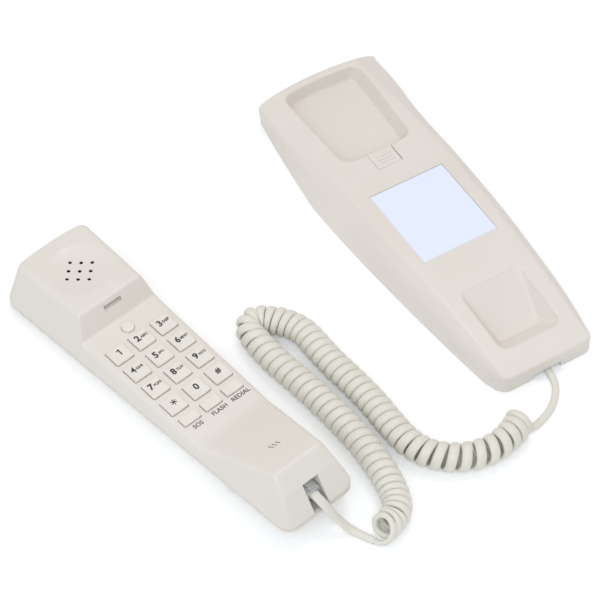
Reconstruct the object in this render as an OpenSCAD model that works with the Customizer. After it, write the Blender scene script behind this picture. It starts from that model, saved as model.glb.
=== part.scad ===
// Slimline wall phone: a long base lying on its back, a handset with the dial
// in it lying beside the base, and the curly cord that joins them.
// The origin is at the centre of the base's flat back. +X is to the right,
// +Y to the earpiece end and +Z out of the face. Millimetres.

/* [Base] */
// Length of the base, from its lower end to the top of its arched end
base_len = 220; // [212:1:232]
// Half width of the back at its widest place
back_half = 42; // [41:0.5:46]
// Distance of that widest place from the lower end
back_peak = 150; // [140:1:160]
// Half width of the back at the lower end
back_half_low = 28.6; // [27.5:0.5:32]
// Half width of the back at the arched end
back_half_top = 34; // [33:0.5:37]
// Height of the flat part of the face above the back
face_h = 18.3; // [17.8:0.1:20]
// Height of the face at the lower end
face_h_low = 10.5; // [10:0.1:11.5]
// Length of the gently curved lower part of the face
face_curve_len = 95; // [85:1:105]
// Half width of the flat face at its widest place
crease_half = 30.7; // [30:0.1:32]
// Distance of that widest place from the lower end
crease_peak = 135; // [125:1:145]
// Rise of the arch at the ear end
arch_rise = 3.5; // [2:0.5:5]
// Rounding of the lower corners, seen from the front
corner_r = 7.5; // [5:0.5:9]
// Wall of the base housing
base_wall = 2; // [1.6:0.1:2.2]
// Thickness of the back plate
plate_t = 2; // [1.6:0.1:2.2]

/* [Ear pocket] */
// Half width of the ear pocket's mouth at its upper end
ear_half_top = 23.3; // [22:0.1:24]
// Half width of the ear pocket's mouth at its lower end
ear_half_low = 21; // [20:0.1:22.5]
// Length of the ear pocket
ear_len = 52.7; // [50:0.5:54]
// Distance from the ear pocket to the top of the arch
ear_margin = 11; // [10:0.5:14]
// Depth of the ear pocket
ear_depth = 8.5; // [7.5:0.1:9]
// How far the pocket's side walls lean in over its depth
ear_lean = 3.6; // [2:0.1:4]

/* [Mouth pocket] */
// Half width of the mouth pocket's mouth
mouth_half = 17.5; // [16.5:0.1:18.5]
// Distance of the mouth pocket's lower edge from the lower end
mouth_low = 14.8; // [14:0.1:16]
// Length of the mouth pocket
mouth_len = 38; // [36:0.5:39.5]
// Distance of its deepest line from its lower edge
mouth_deep_at = 11.4; // [10:0.1:13]
// Height of that deepest line above the back
mouth_deep_z = 6; // [5.8:0.1:7]
// Half width of the pocket along that line
mouth_deep_half = 12.9; // [12:0.1:14]

/* [Memo card] */
// Width of the memo card's recess
card_w = 44.3; // [42:0.1:46]
// Length of the memo card's recess
card_len = 50.9; // [48:0.1:52]
// Distance between the card and the hook tab
card_gap = 14.7; // [12:0.1:17]
// Depth of the recess below the flat face
card_depth = 0.8; // [0.7:0.1:1]
// Thickness of the card
card_t = 0.25; // [0.2:0.05:0.3]
// Thickness of the clear cover
cover_t = 0.3; // [0.2:0.05:0.35]

/* [Wall hook] */
// Width of the reversible hook tab
hook_w = 13.4; // [12:0.1:14]
// Length of the hook tab on the face
hook_len = 12.8; // [11.5:0.1:13.5]
// Travel of the tab in its grooves
hook_travel = 6; // [4:0.5:8]

/* [Handset] */
// Length of the handset from the middle of its twelve keys to its ear end
ear_end = 98; // [96:0.5:101]
// Length from the middle of the keys to the mouth end
mouth_end = 109.5; // [108:0.5:112]
// Half width at the parting line, at the ear end
part_half_ear = 28.4; // [27.5:0.1:30]
// Half width at the parting line, at the mouth end
part_half_mouth = 21.3; // [20.5:0.1:23]
// Height of the parting line at the ear end
part_z_ear = 6.3; // [5.8:0.1:7]
// Height of the parting line at the mouth end
part_z_mouth = 14; // [13.5:0.1:14.5]
// Height of the keypad's face
pad_z = 18.4; // [18:0.1:19.5]
// Height of the ear face at its step
ear_z = 31.7; // [31:0.1:33]
// Height of the ear face at its far edge
ear_z_far = 29.6; // [29:0.1:31]
// Height of the mouth ridge
ridge_z = 36.5; // [35.5:0.1:37.5]
// Lean of the front shell's sides from upright
side_lean = 21; // [19:0.5:22]
// Wall of the handset's shells
hand_wall = 2; // [1.6:0.1:2.2]
// Depth of the back shell's upright rim
rim_h = 1.9; // [1.5:0.1:2.2]
// Diameter of the ear dish
dish_d = 29; // [27:0.5:30]
// Depth of the ear dish
dish_depth = 1.5; // [1:0.1:1.7]

/* [Keys] */
// Distance between key columns
key_pitch_x = 14; // [13.6:0.1:14.3]
// Distance between key rows
key_pitch_y = 13.5; // [13:0.1:13.9]
// Width of a key's cap
key_w = 10; // [9.5:0.1:10.4]
// Length of a key's cap
key_len = 9.8; // [9.2:0.1:10.2]
// Length of a function key's cap
func_len = 5.3; // [4.8:0.1:5.8]
// Height of the caps above the keypad's face
key_rise = 1.3; // [1.1:0.1:1.6]
// Travel of a key
key_travel = 1.2; // [0.8:0.1:1.4]
// Diameter of the hook-switch button
button_d = 6.5; // [6:0.1:7]
// Travel of the hook-switch button
button_travel = 1.9; // [1.5:0.1:2]

/* [Cord] */
// Width of the flat handset cord
cord_w = 3.9; // [3.6:0.1:4]
// Thickness of the flat handset cord
cord_t = 2.6; // [2.4:0.1:2.8]
// Outer diameter of the curls
curl_d = 14.8; // [14:0.1:15.5]
// Least gap between neighbouring curls at the inside of the coil
curl_gap = 0.55; // [0.5:0.05:0.8]

/* [Fits] */
// Clearance all round a fixed piece in its seat
fit = 0.25; // [0.2:0.05:0.3]
// Clearance all round a moving key in its opening
key_fit = 0.35; // [0.3:0.05:0.4]

/* [Hidden] */
fine = 72;
cream = [0.88, 0.86, 0.81];
warm_cream = [0.90, 0.87, 0.81];
cord_cream = [0.85, 0.83, 0.76];
steel = [0.70, 0.71, 0.73];
board_green = [0.16, 0.38, 0.24];
black_plastic = [0.12, 0.12, 0.13];
clear_plastic = [0.86, 0.90, 0.92, 0.5];

// ---- shared helpers ----

function mix(a, b, t) = a + (b - a) * t;
function clamp01(t) = max(0, min(1, t));
function total(list, i = 0) = i < len(list) ? list[i] + total(list, i + 1) : 0;

// Distance from a peak with its point softened over about s millimetres.
function soft(d, s = 10) = sqrt(d * d + s * s) - s;

// Polyhedron through equal rings of points, in order, with flat end caps.
module loft(rings) {
    n = len(rings[0]);
    m = len(rings);
    points = [for (ring = rings) each ring];
    sides = [for (i = [0:m - 2], j = [0:n - 1]) let(a = i * n + j, b = i * n + (j + 1) % n)
        each [[a, b, b + n], [a, b + n, a + n]]];
    ends = [[for (j = [n - 1:-1:0]) j], [for (j = [0:n - 1]) (m - 1) * n + j]];
    polyhedron(points = points, faces = concat(sides, ends), convexity = 8);
}

// A ring across the body at y, from the right half's (x, z) points, bottom first.
function ring_at(y, half) = concat(
    [for (p = half) [p[0], y, p[1]]],
    [for (i = [len(half) - 1:-1:0]) [-half[i][0], y, half[i][1]]]);

// Flat bar with round corners, made of exact boxes and cylinders.
module round_plate(w, l, r, h) {
    translate([-w / 2 + r, -l / 2, 0]) cube([w - 2 * r, l, h]);
    translate([-w / 2, -l / 2 + r, 0]) cube([w, l - 2 * r, h]);
    for (sx = [-1, 1], sy = [-1, 1])
        translate([sx * (w / 2 - r), sy * (l / 2 - r), 0]) cylinder(r = r, h = h, $fn = 24);
}

// A centred box that stands on z = 0.
module block(w, l, h) {
    translate([-w / 2, -l / 2, 0]) cube([w, l, h]);
}

// Self-tapping screw, head down, its shank pointing up from z = 0.
module tapping_screw(shank_r, shank_h, head_r, head_h) {
    slot_w = head_r * 0.35;
    difference() {
        union() {
            cylinder(r = head_r, h = head_h, $fn = 32);
            cylinder(r = shank_r, h = head_h + shank_h, $fn = 32);
        }
        translate([-head_r * 0.7, -slot_w / 2, -0.1]) cube([head_r * 1.4, slot_w, head_h * 0.6]);
        translate([-slot_w / 2, -head_r * 0.7, -0.1]) cube([slot_w, head_r * 1.4, head_h * 0.6]);
    }
}

// ---- base: measures along its length, y counted from the lower end ----

module in_base() { translate([0, -base_len / 2, 0]) children(); }

function back_at(y) = y < back_peak
    ? back_half - (back_half - back_half_low) * pow((back_peak - y) / back_peak, 1.6)
    : back_half - (back_half - back_half_top) * pow((y - back_peak) / (base_len - back_peak), 1.2);

crease_half_low = back_half_low - 3;
crease_half_top = back_half_top - 10.3;
function crease_at(y) = y < crease_peak
    ? crease_half - (crease_half - crease_half_low) * soft(crease_peak - y) / soft(crease_peak)
    : crease_half - (crease_half - crease_half_top)
        * soft(y - crease_peak) / soft(base_len - crease_peak);

// The lower face is an arc that runs out level where the flat face begins.
face_drop = face_h - face_h_low;
face_arc_r = (face_curve_len * face_curve_len + face_drop * face_drop) / (2 * face_drop);
function face_at(y) = y >= face_curve_len ? face_h
    : face_h - face_arc_r + sqrt(pow(face_arc_r, 2) - pow(face_curve_len - y, 2));

// The bend between the bevel and the side: share of the face's height, and how
// far it bulges out of the straight line from the crease to the back.
function bend_share(y) = lookup(y, [[0, 0.72], [30, 0.64], [95, 0.63], [150, 0.67], [200, 0.77]]);
function bend_bulge(y) = lookup(y, [[0, 0.3], [10, 1.6], [30, 3.3], [95, 2.8], [130, 1.5],
    [150, 1.3], [165, 2.6], [200, 8.2], [225, 8.6]]);
function bend_at(y) = mix(back_at(y), crease_at(y), bend_share(y)) + bend_bulge(y);

// Half width between the walls where the back plate lies: the walls lean in
// from the back, so it is taken at the top of the plate.
seat_z = plate_t + 0.3;
function seat_at(y) = -base_wall
    + min(back_at(y), mix(back_at(y), bend_at(y), seat_z / (bend_share(y) * face_at(y))));

crease_round = 0.9;
function base_half_ring(y, inset) = let(
        w0 = back_at(y) - inset, w1 = bend_at(y) - inset, w2 = crease_at(y) - inset * 0.45,
        zf = face_at(y) - inset, z1 = max(4, bend_share(y) * face_at(y) - inset * 0.55),
        foot = inset > 0 ? [[seat_at(y) + base_wall - inset, -1], [seat_at(y) + base_wall - inset, seat_z]]
            : [[w0, 0]])
    [each foot, [mix(w0, w1, 0.8) + 0.3, z1 * 0.8],
     [mix(w1, w2, 0.22) + 0.2, mix(z1, zf, 0.24)],
     [w2 + crease_round, zf - crease_round * 0.75],
     [w2 + crease_round * 0.25, zf - crease_round * 0.15], [w2 - crease_round, zf]];

base_stations = concat([-4], [for (t = [0:8:base_len - 4]) t], [base_len + 4]);
module base_body(inset) {
    loft([for (y = base_stations) ring_at(y, base_half_ring(y, inset))]);
}

// Plan of the base: rounded lower corners and an arched top end.
arch_r = (pow(back_half_top, 2) + pow(arch_rise, 2)) / (2 * arch_rise);
top_corner_r = 4;
module base_plan(inset) {
    wide = back_half + 4;
    low_x = back_half_low - corner_r;
    top_x = back_half_top + 0.6 - top_corner_r;
    top_y = base_len - arch_r + sqrt(pow(arch_r - top_corner_r, 2) - top_x * top_x);
    intersection() {
        translate([0, base_len - arch_r]) circle(r = arch_r - inset, $fn = 360);
        union() {
            translate([-low_x, inset]) square([2 * low_x, base_len]);
            translate([-wide, corner_r]) square([2 * wide, top_y - corner_r]);
            translate([-top_x, corner_r]) square([2 * top_x, base_len]);
            for (s = [-1, 1]) {
                translate([s * low_x, corner_r]) circle(r = corner_r - inset, $fn = fine);
                translate([s * top_x, top_y]) circle(r = top_corner_r - inset * 0.5, $fn = fine);
            }
        }
    }
}

module base_form(inset) {
    intersection() {
        base_body(inset);
        translate([0, 0, -2]) linear_extrude(face_h + 4) base_plan(inset);
    }
}

ear_top = base_len - ear_margin;
ear_low = ear_top - ear_len;
ear_floor_z = face_h - ear_depth;
pocket_r = 5;
hook_low = ear_low - hook_len;
card_low = hook_low - card_gap - card_len;

// Space of the ear pocket, grown all round by a wall.
module ear_pocket(grow) {
    hull() {
        for (s = [-1, 1]) {
            for (e = [[ear_half_top, ear_top], [ear_half_low, ear_low + 2 * pocket_r]])
                translate([s * (e[0] - pocket_r), e[1] - pocket_r, face_h - 0.4])
                    cylinder(r = pocket_r + grow, h = 4, $fn = 32);
            for (e = [[ear_half_top, ear_top - 1.2], [ear_half_low, ear_low + 2 * pocket_r + 1.2]])
                translate([s * (e[0] - ear_lean - pocket_r), e[1] - pocket_r, ear_floor_z - grow])
                    cylinder(r = pocket_r - 0.8 + grow, h = 0.5, $fn = 32);
        }
    }
}

mouth_top = mouth_low + mouth_len;
mouth_deep_y = mouth_low + mouth_deep_at;
// Space of the mouth pocket: a long ramp down and a short one up again.
module mouth_pocket(grow) {
    top_r = 2.5;
    hull() {
        for (s = [-1, 1]) {
            translate([s * (mouth_half - pocket_r), mouth_low + pocket_r,
                face_at(mouth_low + pocket_r) - 0.5])
                cylinder(r = pocket_r + grow, h = 5, $fn = 32);
            translate([s * (mouth_half - top_r), mouth_top - top_r, face_at(mouth_top - top_r) - 0.5])
                cylinder(r = top_r + grow, h = 3, $fn = 32);
            translate([s * (mouth_deep_half - 1.5), mouth_deep_y, mouth_deep_z - grow])
                cylinder(r = 1.5 + grow, h = 0.5, $fn = 32);
        }
    }
}

notch_w = 15.6;
notch_h = 3.6;
boss_r = 3.1;
base_screw_at = [[-22.3, 9.5], [22.3, 9.5], [-29.3, ear_top - 12], [29.3, ear_top - 12]];
base_screw_r = 1.3;
thread_fit = 0.05;
base_screw_len = 7;
base_screw_head_r = 2.6;
base_screw_head_h = 0.95;
jack_w = 11.6;
jack_len = 13.5;
jack_h = 9.4;
jack_low = 58;
card_floor_z = face_h - card_depth;
under_card_z = card_floor_z - base_wall;
// The ringer lies just below the hook, the board between it and the jacks.
ringer_r = 14;
ringer_h = 5.5;
ringer_gap = 2.1;
ringer_y = hook_low - ringer_gap - ringer_r;
board_w = 40;
board_t = 1.6;
board_gap_low = 5.4;
board_gap_top = 2.5;
base_board_low = jack_low + jack_len + board_gap_low;
base_board_len = ringer_y - ringer_r - board_gap_top - base_board_low;
base_board_z = 8.4;
post_r = 2.2;
post_in = 3.5;
board_hole_r = 1.1;
board_screw_r = 0.8;
board_screw_head_r = 1.8;
board_screw_head_h = 0.85;
board_screw_grip = 2.8;
chip_h = 2.2;
can_r = 3;
can_h = 3.4;
screw_sink = 0.15;
base_post_at = [for (sx = [-1, 1], sy = [0, 1])
    [sx * (board_w / 2 - post_in), base_board_low + post_in + sy * (base_board_len - 2 * post_in)]];
hook_t = 1.9;
hook_tongue = 1;
hook_tongue_t = 0.9;
hook_seat_z = face_h - hook_t - fit;

module base_housing() {
    color(cream) in_base() difference() {
        union() {
            difference() {
                base_form(0);
                difference() {
                    base_form(base_wall);
                    ear_pocket(base_wall);
                    mouth_pocket(base_wall);
                }
            }
            // thicker seats under the memo card and the hook tab
            intersection() {
                base_form(base_wall * 0.5);
                union() {
                    translate([0, card_low + card_len / 2, under_card_z])
                        block(card_w + 3, card_len + 3, base_wall);
                    translate([0, hook_low + hook_len / 2, hook_seat_z - base_wall])
                        block(hook_w + 2 * hook_tongue + 4, hook_len + 3, base_wall + 1.5);
                }
            }
            // screw bosses, hollow posts for the board and the ringer's ring
            intersection() {
                base_form(base_wall * 0.5);
                union() {
                    for (p = base_screw_at)
                        translate([p[0], p[1], plate_t + fit]) cylinder(r = boss_r, h = face_h, $fn = 32);
                    for (p = base_post_at)
                        translate([p[0], p[1], base_board_z + board_t])
                            cylinder(r = post_r, h = under_card_z - base_board_z, $fn = 32);
                    translate([0, ringer_y, under_card_z - ringer_h + 1]) difference() {
                        cylinder(r = ringer_r + fit + 1.4, h = ringer_h, $fn = fine);
                        translate([0, 0, -1]) cylinder(r = ringer_r + fit, h = ringer_h + 2, $fn = fine);
                    }
                }
            }
        }
        ear_pocket(0);
        mouth_pocket(0);
        // memo card recess
        translate([0, card_low + card_len / 2, card_floor_z]) block(card_w, card_len, 3);
        // hook slot with a groove along each side, open to the ear pocket
        translate([-hook_w / 2 - fit, hook_low - fit, hook_seat_z])
            cube([hook_w + 2 * fit, hook_len + 4, 4]);
        translate([-hook_w / 2 - hook_tongue - fit, hook_low - fit, hook_seat_z])
            cube([hook_w + 2 * hook_tongue + 2 * fit, hook_len + 4, hook_tongue_t + 2 * fit]);
        // cord notch in the lower end wall
        translate([-notch_w / 2, -1, -1]) cube([notch_w, base_wall + 2, notch_h + 1]);
        // pilot bores
        for (p = base_screw_at)
            translate([p[0], p[1], 0])
                cylinder(r = base_screw_r + thread_fit, h = base_screw_len + plate_t, $fn = 32);
        for (p = base_post_at)
            translate([p[0], p[1], 0])
                cylinder(r = board_screw_r + thread_fit,
                    h = base_board_z + board_t + board_screw_grip + 0.7, $fn = 32);
    }
}

// ---- back plate ----

jack_lift = 0.5;
line_jack_x = 21.5;
well_w = 14;
well_low = 43;
well_h = 8.5;
well_wall = 1.2;
channel_w = 8.4;
channel_h = 3.3;
channel_wall = 0.6;
stud_pitch = 83.3;
keyhole_top = ear_low + 20;
keyhole_at = [keyhole_top, keyhole_top - stud_pitch];
keyhole_head_r = 4.3;
keyhole_slot_r = 2.2;
keyhole_run = 7;

module plate_plan() {
    last = len(base_stations) - 1;
    intersection() {
        base_plan(base_wall + fit);
        polygon(concat(
            [for (y = base_stations) [seat_at(y) - fit, y]],
            [for (i = [last:-1:0]) [fit - seat_at(base_stations[i]), base_stations[i]]]));
    }
}

module well_box(x) {
    translate([x - well_w / 2 - well_wall, well_low - well_wall, 0])
        cube([well_w + 2 * well_wall, jack_low - well_low + 2 * well_wall, well_h + well_wall]);
}

module back_plate() {
    color(cream) in_base() difference() {
        union() {
            linear_extrude(plate_t) plate_plan();
            // roof over the cord's channel
            translate([0, well_low / 2 + plate_t + 1, 0])
                block(channel_w + 2.4, well_low - 2 * plate_t - 2, channel_h + channel_wall);
            for (x = [0, line_jack_x]) {
                well_box(x);
                // side rails that hold the jack
                for (s = [-1, 1])
                    translate([x + s * (jack_w / 2 + fit + 0.7), jack_low + jack_len / 2, 0])
                        block(1.4, jack_len, jack_h * 0.7);
            }
        }
        for (x = [0, line_jack_x]) {
            translate([x - well_w / 2, well_low, -1]) cube([well_w, jack_low - well_low - fit, well_h + 1]);
            translate([x - jack_w / 2 - fit, jack_low - fit, -1])
                cube([jack_w + 2 * fit, jack_len + 2 * fit, jack_h + 3]);
        }
        // channel that leads the handset cord to the notch
        translate([-channel_w / 2, -1, -1]) cube([channel_w, well_low + 2, channel_h + 1]);
        translate([-notch_w / 2, -1, -1]) cube([notch_w, base_wall + 6, plate_t + 2]);
        // keyholes for two wall studs
        for (y = keyhole_at) {
            translate([0, y, -1]) cylinder(r = keyhole_head_r, h = plate_t + 2, $fn = fine);
            translate([0, y + keyhole_run, -1]) cylinder(r = keyhole_slot_r, h = plate_t + 2, $fn = fine);
            translate([-keyhole_slot_r, y, -1]) cube([2 * keyhole_slot_r, keyhole_run, plate_t + 2]);
        }
        // countersunk screw holes
        for (p = base_screw_at) translate([p[0], p[1], 0]) {
            translate([0, 0, -1]) cylinder(r = base_screw_r + 0.3, h = plate_t + 2, $fn = 32);
            translate([0, 0, -0.1]) cylinder(r = 2.9, h = 1.2, $fn = 32);
        }
        // sound slots under the ringer
        for (i = [-3:3]) translate([i * 3.2, ringer_y, -1]) block(1.4, 16 - 1.6 * abs(i), plate_t + 2);
    }
}

module base_screws() {
    color(steel) in_base() for (p = base_screw_at)
        translate([p[0], p[1], screw_sink])
            tapping_screw(base_screw_r, base_screw_len - screw_sink * 3,
                base_screw_head_r, base_screw_head_h);
}

module memo_card() {
    color([0.93, 0.95, 1]) in_base()
        translate([0, card_low + card_len / 2, card_floor_z + 0.02])
            block(card_w - 2 * fit, card_len - 2 * fit, card_t);
}

module card_cover() {
    color(clear_plastic) in_base()
        translate([0, card_low + card_len / 2, card_floor_z + card_t + 0.05])
            block(card_w - fit, card_len - fit, cover_t);
}

module wall_hook() {
    lip = 3.4;
    lip_y = ear_low + 1.3;
    low_z = hook_seat_z + fit;
    color(cream) in_base() {
        translate([-hook_w / 2, hook_low, low_z]) cube([hook_w, hook_len - 3.4, hook_t]);
        // the tab steps down a little where it runs out into the ear pocket
        translate([-hook_w / 2, hook_low, low_z]) cube([hook_w, hook_len + 2.9, hook_t - 0.5]);
        translate([-hook_w / 2 - hook_tongue, hook_low, low_z])
            cube([hook_w + 2 * hook_tongue, hook_len, hook_tongue_t]);
        // lip that hangs into the ear pocket
        translate([-hook_w / 2, lip_y, low_z - lip]) cube([hook_w, 1.6, lip + 0.5]);
        // three grip ribs
        for (i = [-1:1])
            translate([0, hook_low + (hook_len - 3.4) / 2 + i * 2.6, low_z + hook_t - 0.1])
                block(hook_w * 0.62, 1, 0.6);
    }
}

module base_board() {
    color(board_green) in_base() difference() {
        translate([0, base_board_low + base_board_len / 2, base_board_z])
            block(board_w, base_board_len, board_t);
        for (p = base_post_at)
            translate([p[0], p[1], base_board_z - 1]) cylinder(r = board_hole_r, h = board_t + 2, $fn = 24);
    }
    // a chip and two capacitors
    color(black_plastic) in_base()
        translate([0, base_board_low + base_board_len / 2, base_board_z + board_t]) {
            translate([-board_w * 0.22, base_board_len * 0.26, 0])
                block(board_w * 0.2, board_w * 0.15, chip_h);
            translate([board_w * 0.2, base_board_len * 0.28, 0]) cylinder(r = can_r, h = can_h, $fn = 32);
            translate([board_w * 0.2, -base_board_len * 0.15, 0])
                cylinder(r = can_r * 0.73, h = can_h, $fn = 32);
        }
}

module base_board_screws() {
    color(steel) in_base() for (p = base_post_at)
        translate([p[0], p[1], base_board_z - board_screw_head_h - thread_fit])
            tapping_screw(board_screw_r, board_t + board_screw_grip, board_screw_head_r, board_screw_head_h);
}

module ringer() {
    top = under_card_z - 0.1;
    color(black_plastic) in_base() translate([0, ringer_y, top - ringer_h]) difference() {
        cylinder(r = ringer_r, h = ringer_h, $fn = fine);
        translate([0, 0, -1]) cylinder(r = 2.5, h = 3, $fn = 32);
        for (a = [0:60:300]) rotate(a) translate([8, 0, -1]) cylinder(r = 1, h = 2, $fn = 16);
    }
}

// ---- modular jacks and plugs, along -Y: the mouth's plane is at y = 0 ----

plug_w = 7.65;
plug_h = 6.1;
plug_in = 10.5;
plug_out = 6.5;
jack_axis_z = 4.5;

// The plug_w keyed mouth opens at the jack's -Y face.
module modular_jack(w, mouth_w) {
    mouth_h = plug_h + 2 * 0.15;
    difference() {
        translate([-w / 2, 0, 0]) cube([w, jack_len, jack_h]);
        translate([-mouth_w / 2, -1, jack_axis_z - mouth_h / 2]) cube([mouth_w, plug_in + 1.5, mouth_h]);
        // keyway for the latch
        translate([-1.8, -1, jack_axis_z]) cube([3.6, plug_in + 1.5, mouth_h / 2 + 0.9]);
    }
}

module modular_plug() {
    difference() {
        union() {
            translate([-plug_w / 2, -plug_out, -plug_h / 2])
                cube([plug_w, plug_in + plug_out, plug_h - 1.2]);
            translate([-plug_w / 2, 0.5, -plug_h / 2]) cube([plug_w, plug_in - 0.5, plug_h]);
            // latch tongue, rising to its free end at the back
            translate([-1.5, -plug_out + 1, plug_h / 2 - 0.9]) cube([3, plug_out + 6, 0.9]);
        }
        // contact slots at the nose
        for (i = [-1.5:1:1.5])
            translate([i * 1.27 - 0.3, plug_in - 5, -plug_h / 2 - 1]) cube([0.6, 6, 2.4]);
        // gap under the latch tongue
        translate([-2.2, -plug_out - 1, plug_h / 2 - 1.2]) cube([4.4, plug_out + 1.4, 0.3]);
    }
}

module base_jack() {
    color(black_plastic) in_base() translate([0, jack_low, jack_lift]) modular_jack(jack_w, plug_w + 0.3);
}

module line_jack() {
    color(black_plastic) in_base() translate([line_jack_x, jack_low, jack_lift]) modular_jack(jack_w, 9.7);
}

module base_plug() {
    color(clear_plastic) in_base() translate([0, jack_low, jack_lift + jack_axis_z]) modular_plug();
}

// ---- handset: y counted from the middle of the twelve keys ----

hand_x = -162.2;
hand_y = -21.2;
hand_turn = 10.6;
module in_handset() { translate([hand_x, hand_y, 0]) rotate([0, 0, hand_turn]) children(); }

lean = tan(side_lean);
function along(y) = (y + mouth_end) / (ear_end + mouth_end);
function part_half(y) = mix(part_half_mouth, part_half_ear, along(y));
function part_z(y) = mix(part_z_mouth, part_z_ear, along(y));

step_low = 37.8;
step_top = 43.5;
wedge_y = -47;
ridge_y = -93;
ear_far_y = 89.5;
ear_fall = (ear_z - ear_z_far) / (ear_far_y - step_top);
// Front of the handset seen from the side, mouth end first: y, z and the
// rounding of each knee.
front_knees = [[-mouth_end, part_z_mouth + 0.5, 0], [-mouth_end + 0.4, part_z_mouth + 2.4, 0.8],
    [-101, 28.7, 5], [ridge_y, ridge_z + 0.5, 2.4], [wedge_y, pad_z, 16], [step_low, pad_z, 4],
    [step_top, ear_z, 2], [ear_end + 2, ear_z_far - (ear_end + 2 - ear_far_y) * ear_fall, 0]];

function unit(v) = v / norm(v);
function knee_arc(a, b, c, r, n) = r <= 0 ? [b] : let(
        u = unit(a - b), v = unit(c - b), half = acos(u * v) / 2,
        p = b + u * r / tan(half), q = b + v * r / tan(half), o = b + unit(u + v) * r / sin(half))
    [for (i = [0:n]) o + r * unit(mix(p - o, q - o, i / n))];
function flat2(p) = [p[0], p[1]];
function rounded(k, n) = [for (i = [0:len(k) - 1])
    each (i == 0 || i == len(k) - 1) ? [flat2(k[i])]
        : knee_arc(flat2(k[i - 1]), flat2(k[i]), flat2(k[i + 1]), k[i][2], n)];

// The knees moved inwards by a wall, square to each stretch.
function inward(a, b) = let(t = unit(b - a)) [t[1], -t[0]];
function moved_in(k, d) = [for (i = [0:len(k) - 1]) let(
        p = flat2(k[i]),
        m = i == 0 ? inward(p, flat2(k[1])) : inward(flat2(k[i - 1]), p),
        n = i == len(k) - 1 ? m : inward(p, flat2(k[i + 1])))
    p + (m + n) * d / (1 + m * n)];

edge_r = 1.4;
function face_half_ring(y, z, inset) = let(
        zp = part_z(y),
        w = part_half(y) - inset / cos(side_lean),
        h = max(0.2, z - zp),
        r = min(edge_r, h / 2))
    [[w + (inset > 0 ? lean * 2 : 0), zp - (inset > 0 ? 2 : 0)], [w - (h - r) * lean, zp + h - r],
     [w - h * lean + r * 0.05, zp + h - r * 0.3], [w - h * lean - r * 0.6, zp + h]];

front_line = rounded(front_knees, 3);
module face_body(inset) {
    line = inset > 0 ? moved_in(front_knees, inset) : front_line;
    loft([for (p = line) ring_at(p[0], face_half_ring(p[0], p[1], inset))]);
}

// Plan of the handset at its parting line.
ear_arch_r = 150;
ear_corner_r = 10.5;
module hand_plan(inset) {
    end_r = 6;
    low_x = part_half_mouth - end_r;
    intersection() {
        ear_plan(inset, 0);
        union() {
            translate([-40, end_r - mouth_end]) square([80, mouth_end + ear_end]);
            translate([-low_x, inset - mouth_end]) square([2 * low_x, 20]);
            for (s = [-1, 1])
                translate([s * low_x, end_r - mouth_end]) circle(r = end_r - inset, $fn = fine);
        }
    }
}

// Plan of the arched ear end h above the parting line: its walls lean inwards.
far_lean = 0.27;
corner_lean = 0.3;
module ear_plan(inset, h) {
    far_r = ear_arch_r - h * far_lean;
    r = ear_corner_r - h * corner_lean;
    x = part_half_ear - 0.2 - r - h * lean;
    y = ear_end - ear_arch_r + sqrt(pow(far_r - r, 2) - x * x);
    intersection() {
        translate([0, ear_end - ear_arch_r]) circle(r = far_r - inset, $fn = 360);
        union() {
            translate([inset - x - r, -mouth_end - 1]) square([2 * (x + r - inset), y + mouth_end + 1]);
            translate([-x, 0]) square([2 * x, ear_end]);
            for (s = [-1, 1])
                translate([s * x, y]) circle(r = r - inset, $fn = fine);
        }
    }
}

module face_form(inset) {
    intersection() {
        face_body(inset);
        linear_extrude(ridge_z + 4) hand_plan(inset);
        union() {
            hull()
                for (h = [-2.5, ear_z - part_z_ear + 0.3])
                    translate([0, 0, part_z_ear + h]) linear_extrude(0.01) ear_plan(inset, h);
            translate([-40, -mouth_end - 2, -2.5]) cube([80, mouth_end, ridge_z + 6]);
        }
    }
}

key_face_z = pad_z;
inner_pad_z = pad_z - hand_wall;
flange = 0.6;
flange_t = 0.9;
flange_top = inner_pad_z - 0.2;
func_y = -31.9;
func_pitch = 13.3;
func_shift = -0.25;
function func_x(c) = func_shift + c * func_pitch;
button_y = 30.8;
key_r = 1;
hand_board_z = 9.4;
hand_board_w = 40;
hand_board_low = -44;
hand_board_top = 36.5;
mat_t = 0.9;
mat_low = -38.5;
mat_top = 26.6;
hand_post_in = 2.8;
hand_post_r = 2;
hand_board_hole_r = 1;
hand_board_screw_r = 0.7;
hand_board_screw_head_r = 1.7;
hand_post_mid = (hand_board_low + hand_board_top) / 2;
hand_post_half = (hand_board_top - hand_board_low) / 2 - hand_post_in + 0.1;
hand_post_at = [for (sx = [-1, 1], sy = [-1, 1])
    [sx * (hand_board_w / 2 - hand_post_in), hand_post_mid + sy * hand_post_half]];
hand_screw_at = [[-16.5, -66], [16.5, -66], [-18.5, 52], [18.5, 52]];
hand_screw_r = 1.2;
hand_boss_r = 2.9;
hand_boss_z = 10.2;
capsule_r = 13.6;
capsule_y = 67;
mic_y = -76;
mic_r = 4.85;
wedge_tilt = atan((ridge_z - pad_z) / (wedge_y - ridge_y));
plug_axis_z = 20.5;
hand_jack_y = 12.5 - mouth_end;
cord_notch_w = 9.3;
cord_notch_z = 28.6;

ear_tilt = atan((ear_z - ear_z_far) / (ear_far_y - step_top));
dish_pad = 1.3;
function ear_face_z(y) = mix(ear_z, ear_z_far, (y - step_top) / (ear_far_y - step_top));
function wedge_z(y) = mix(pad_z, ridge_z, (wedge_y - y) / (wedge_y - ridge_y));

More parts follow.
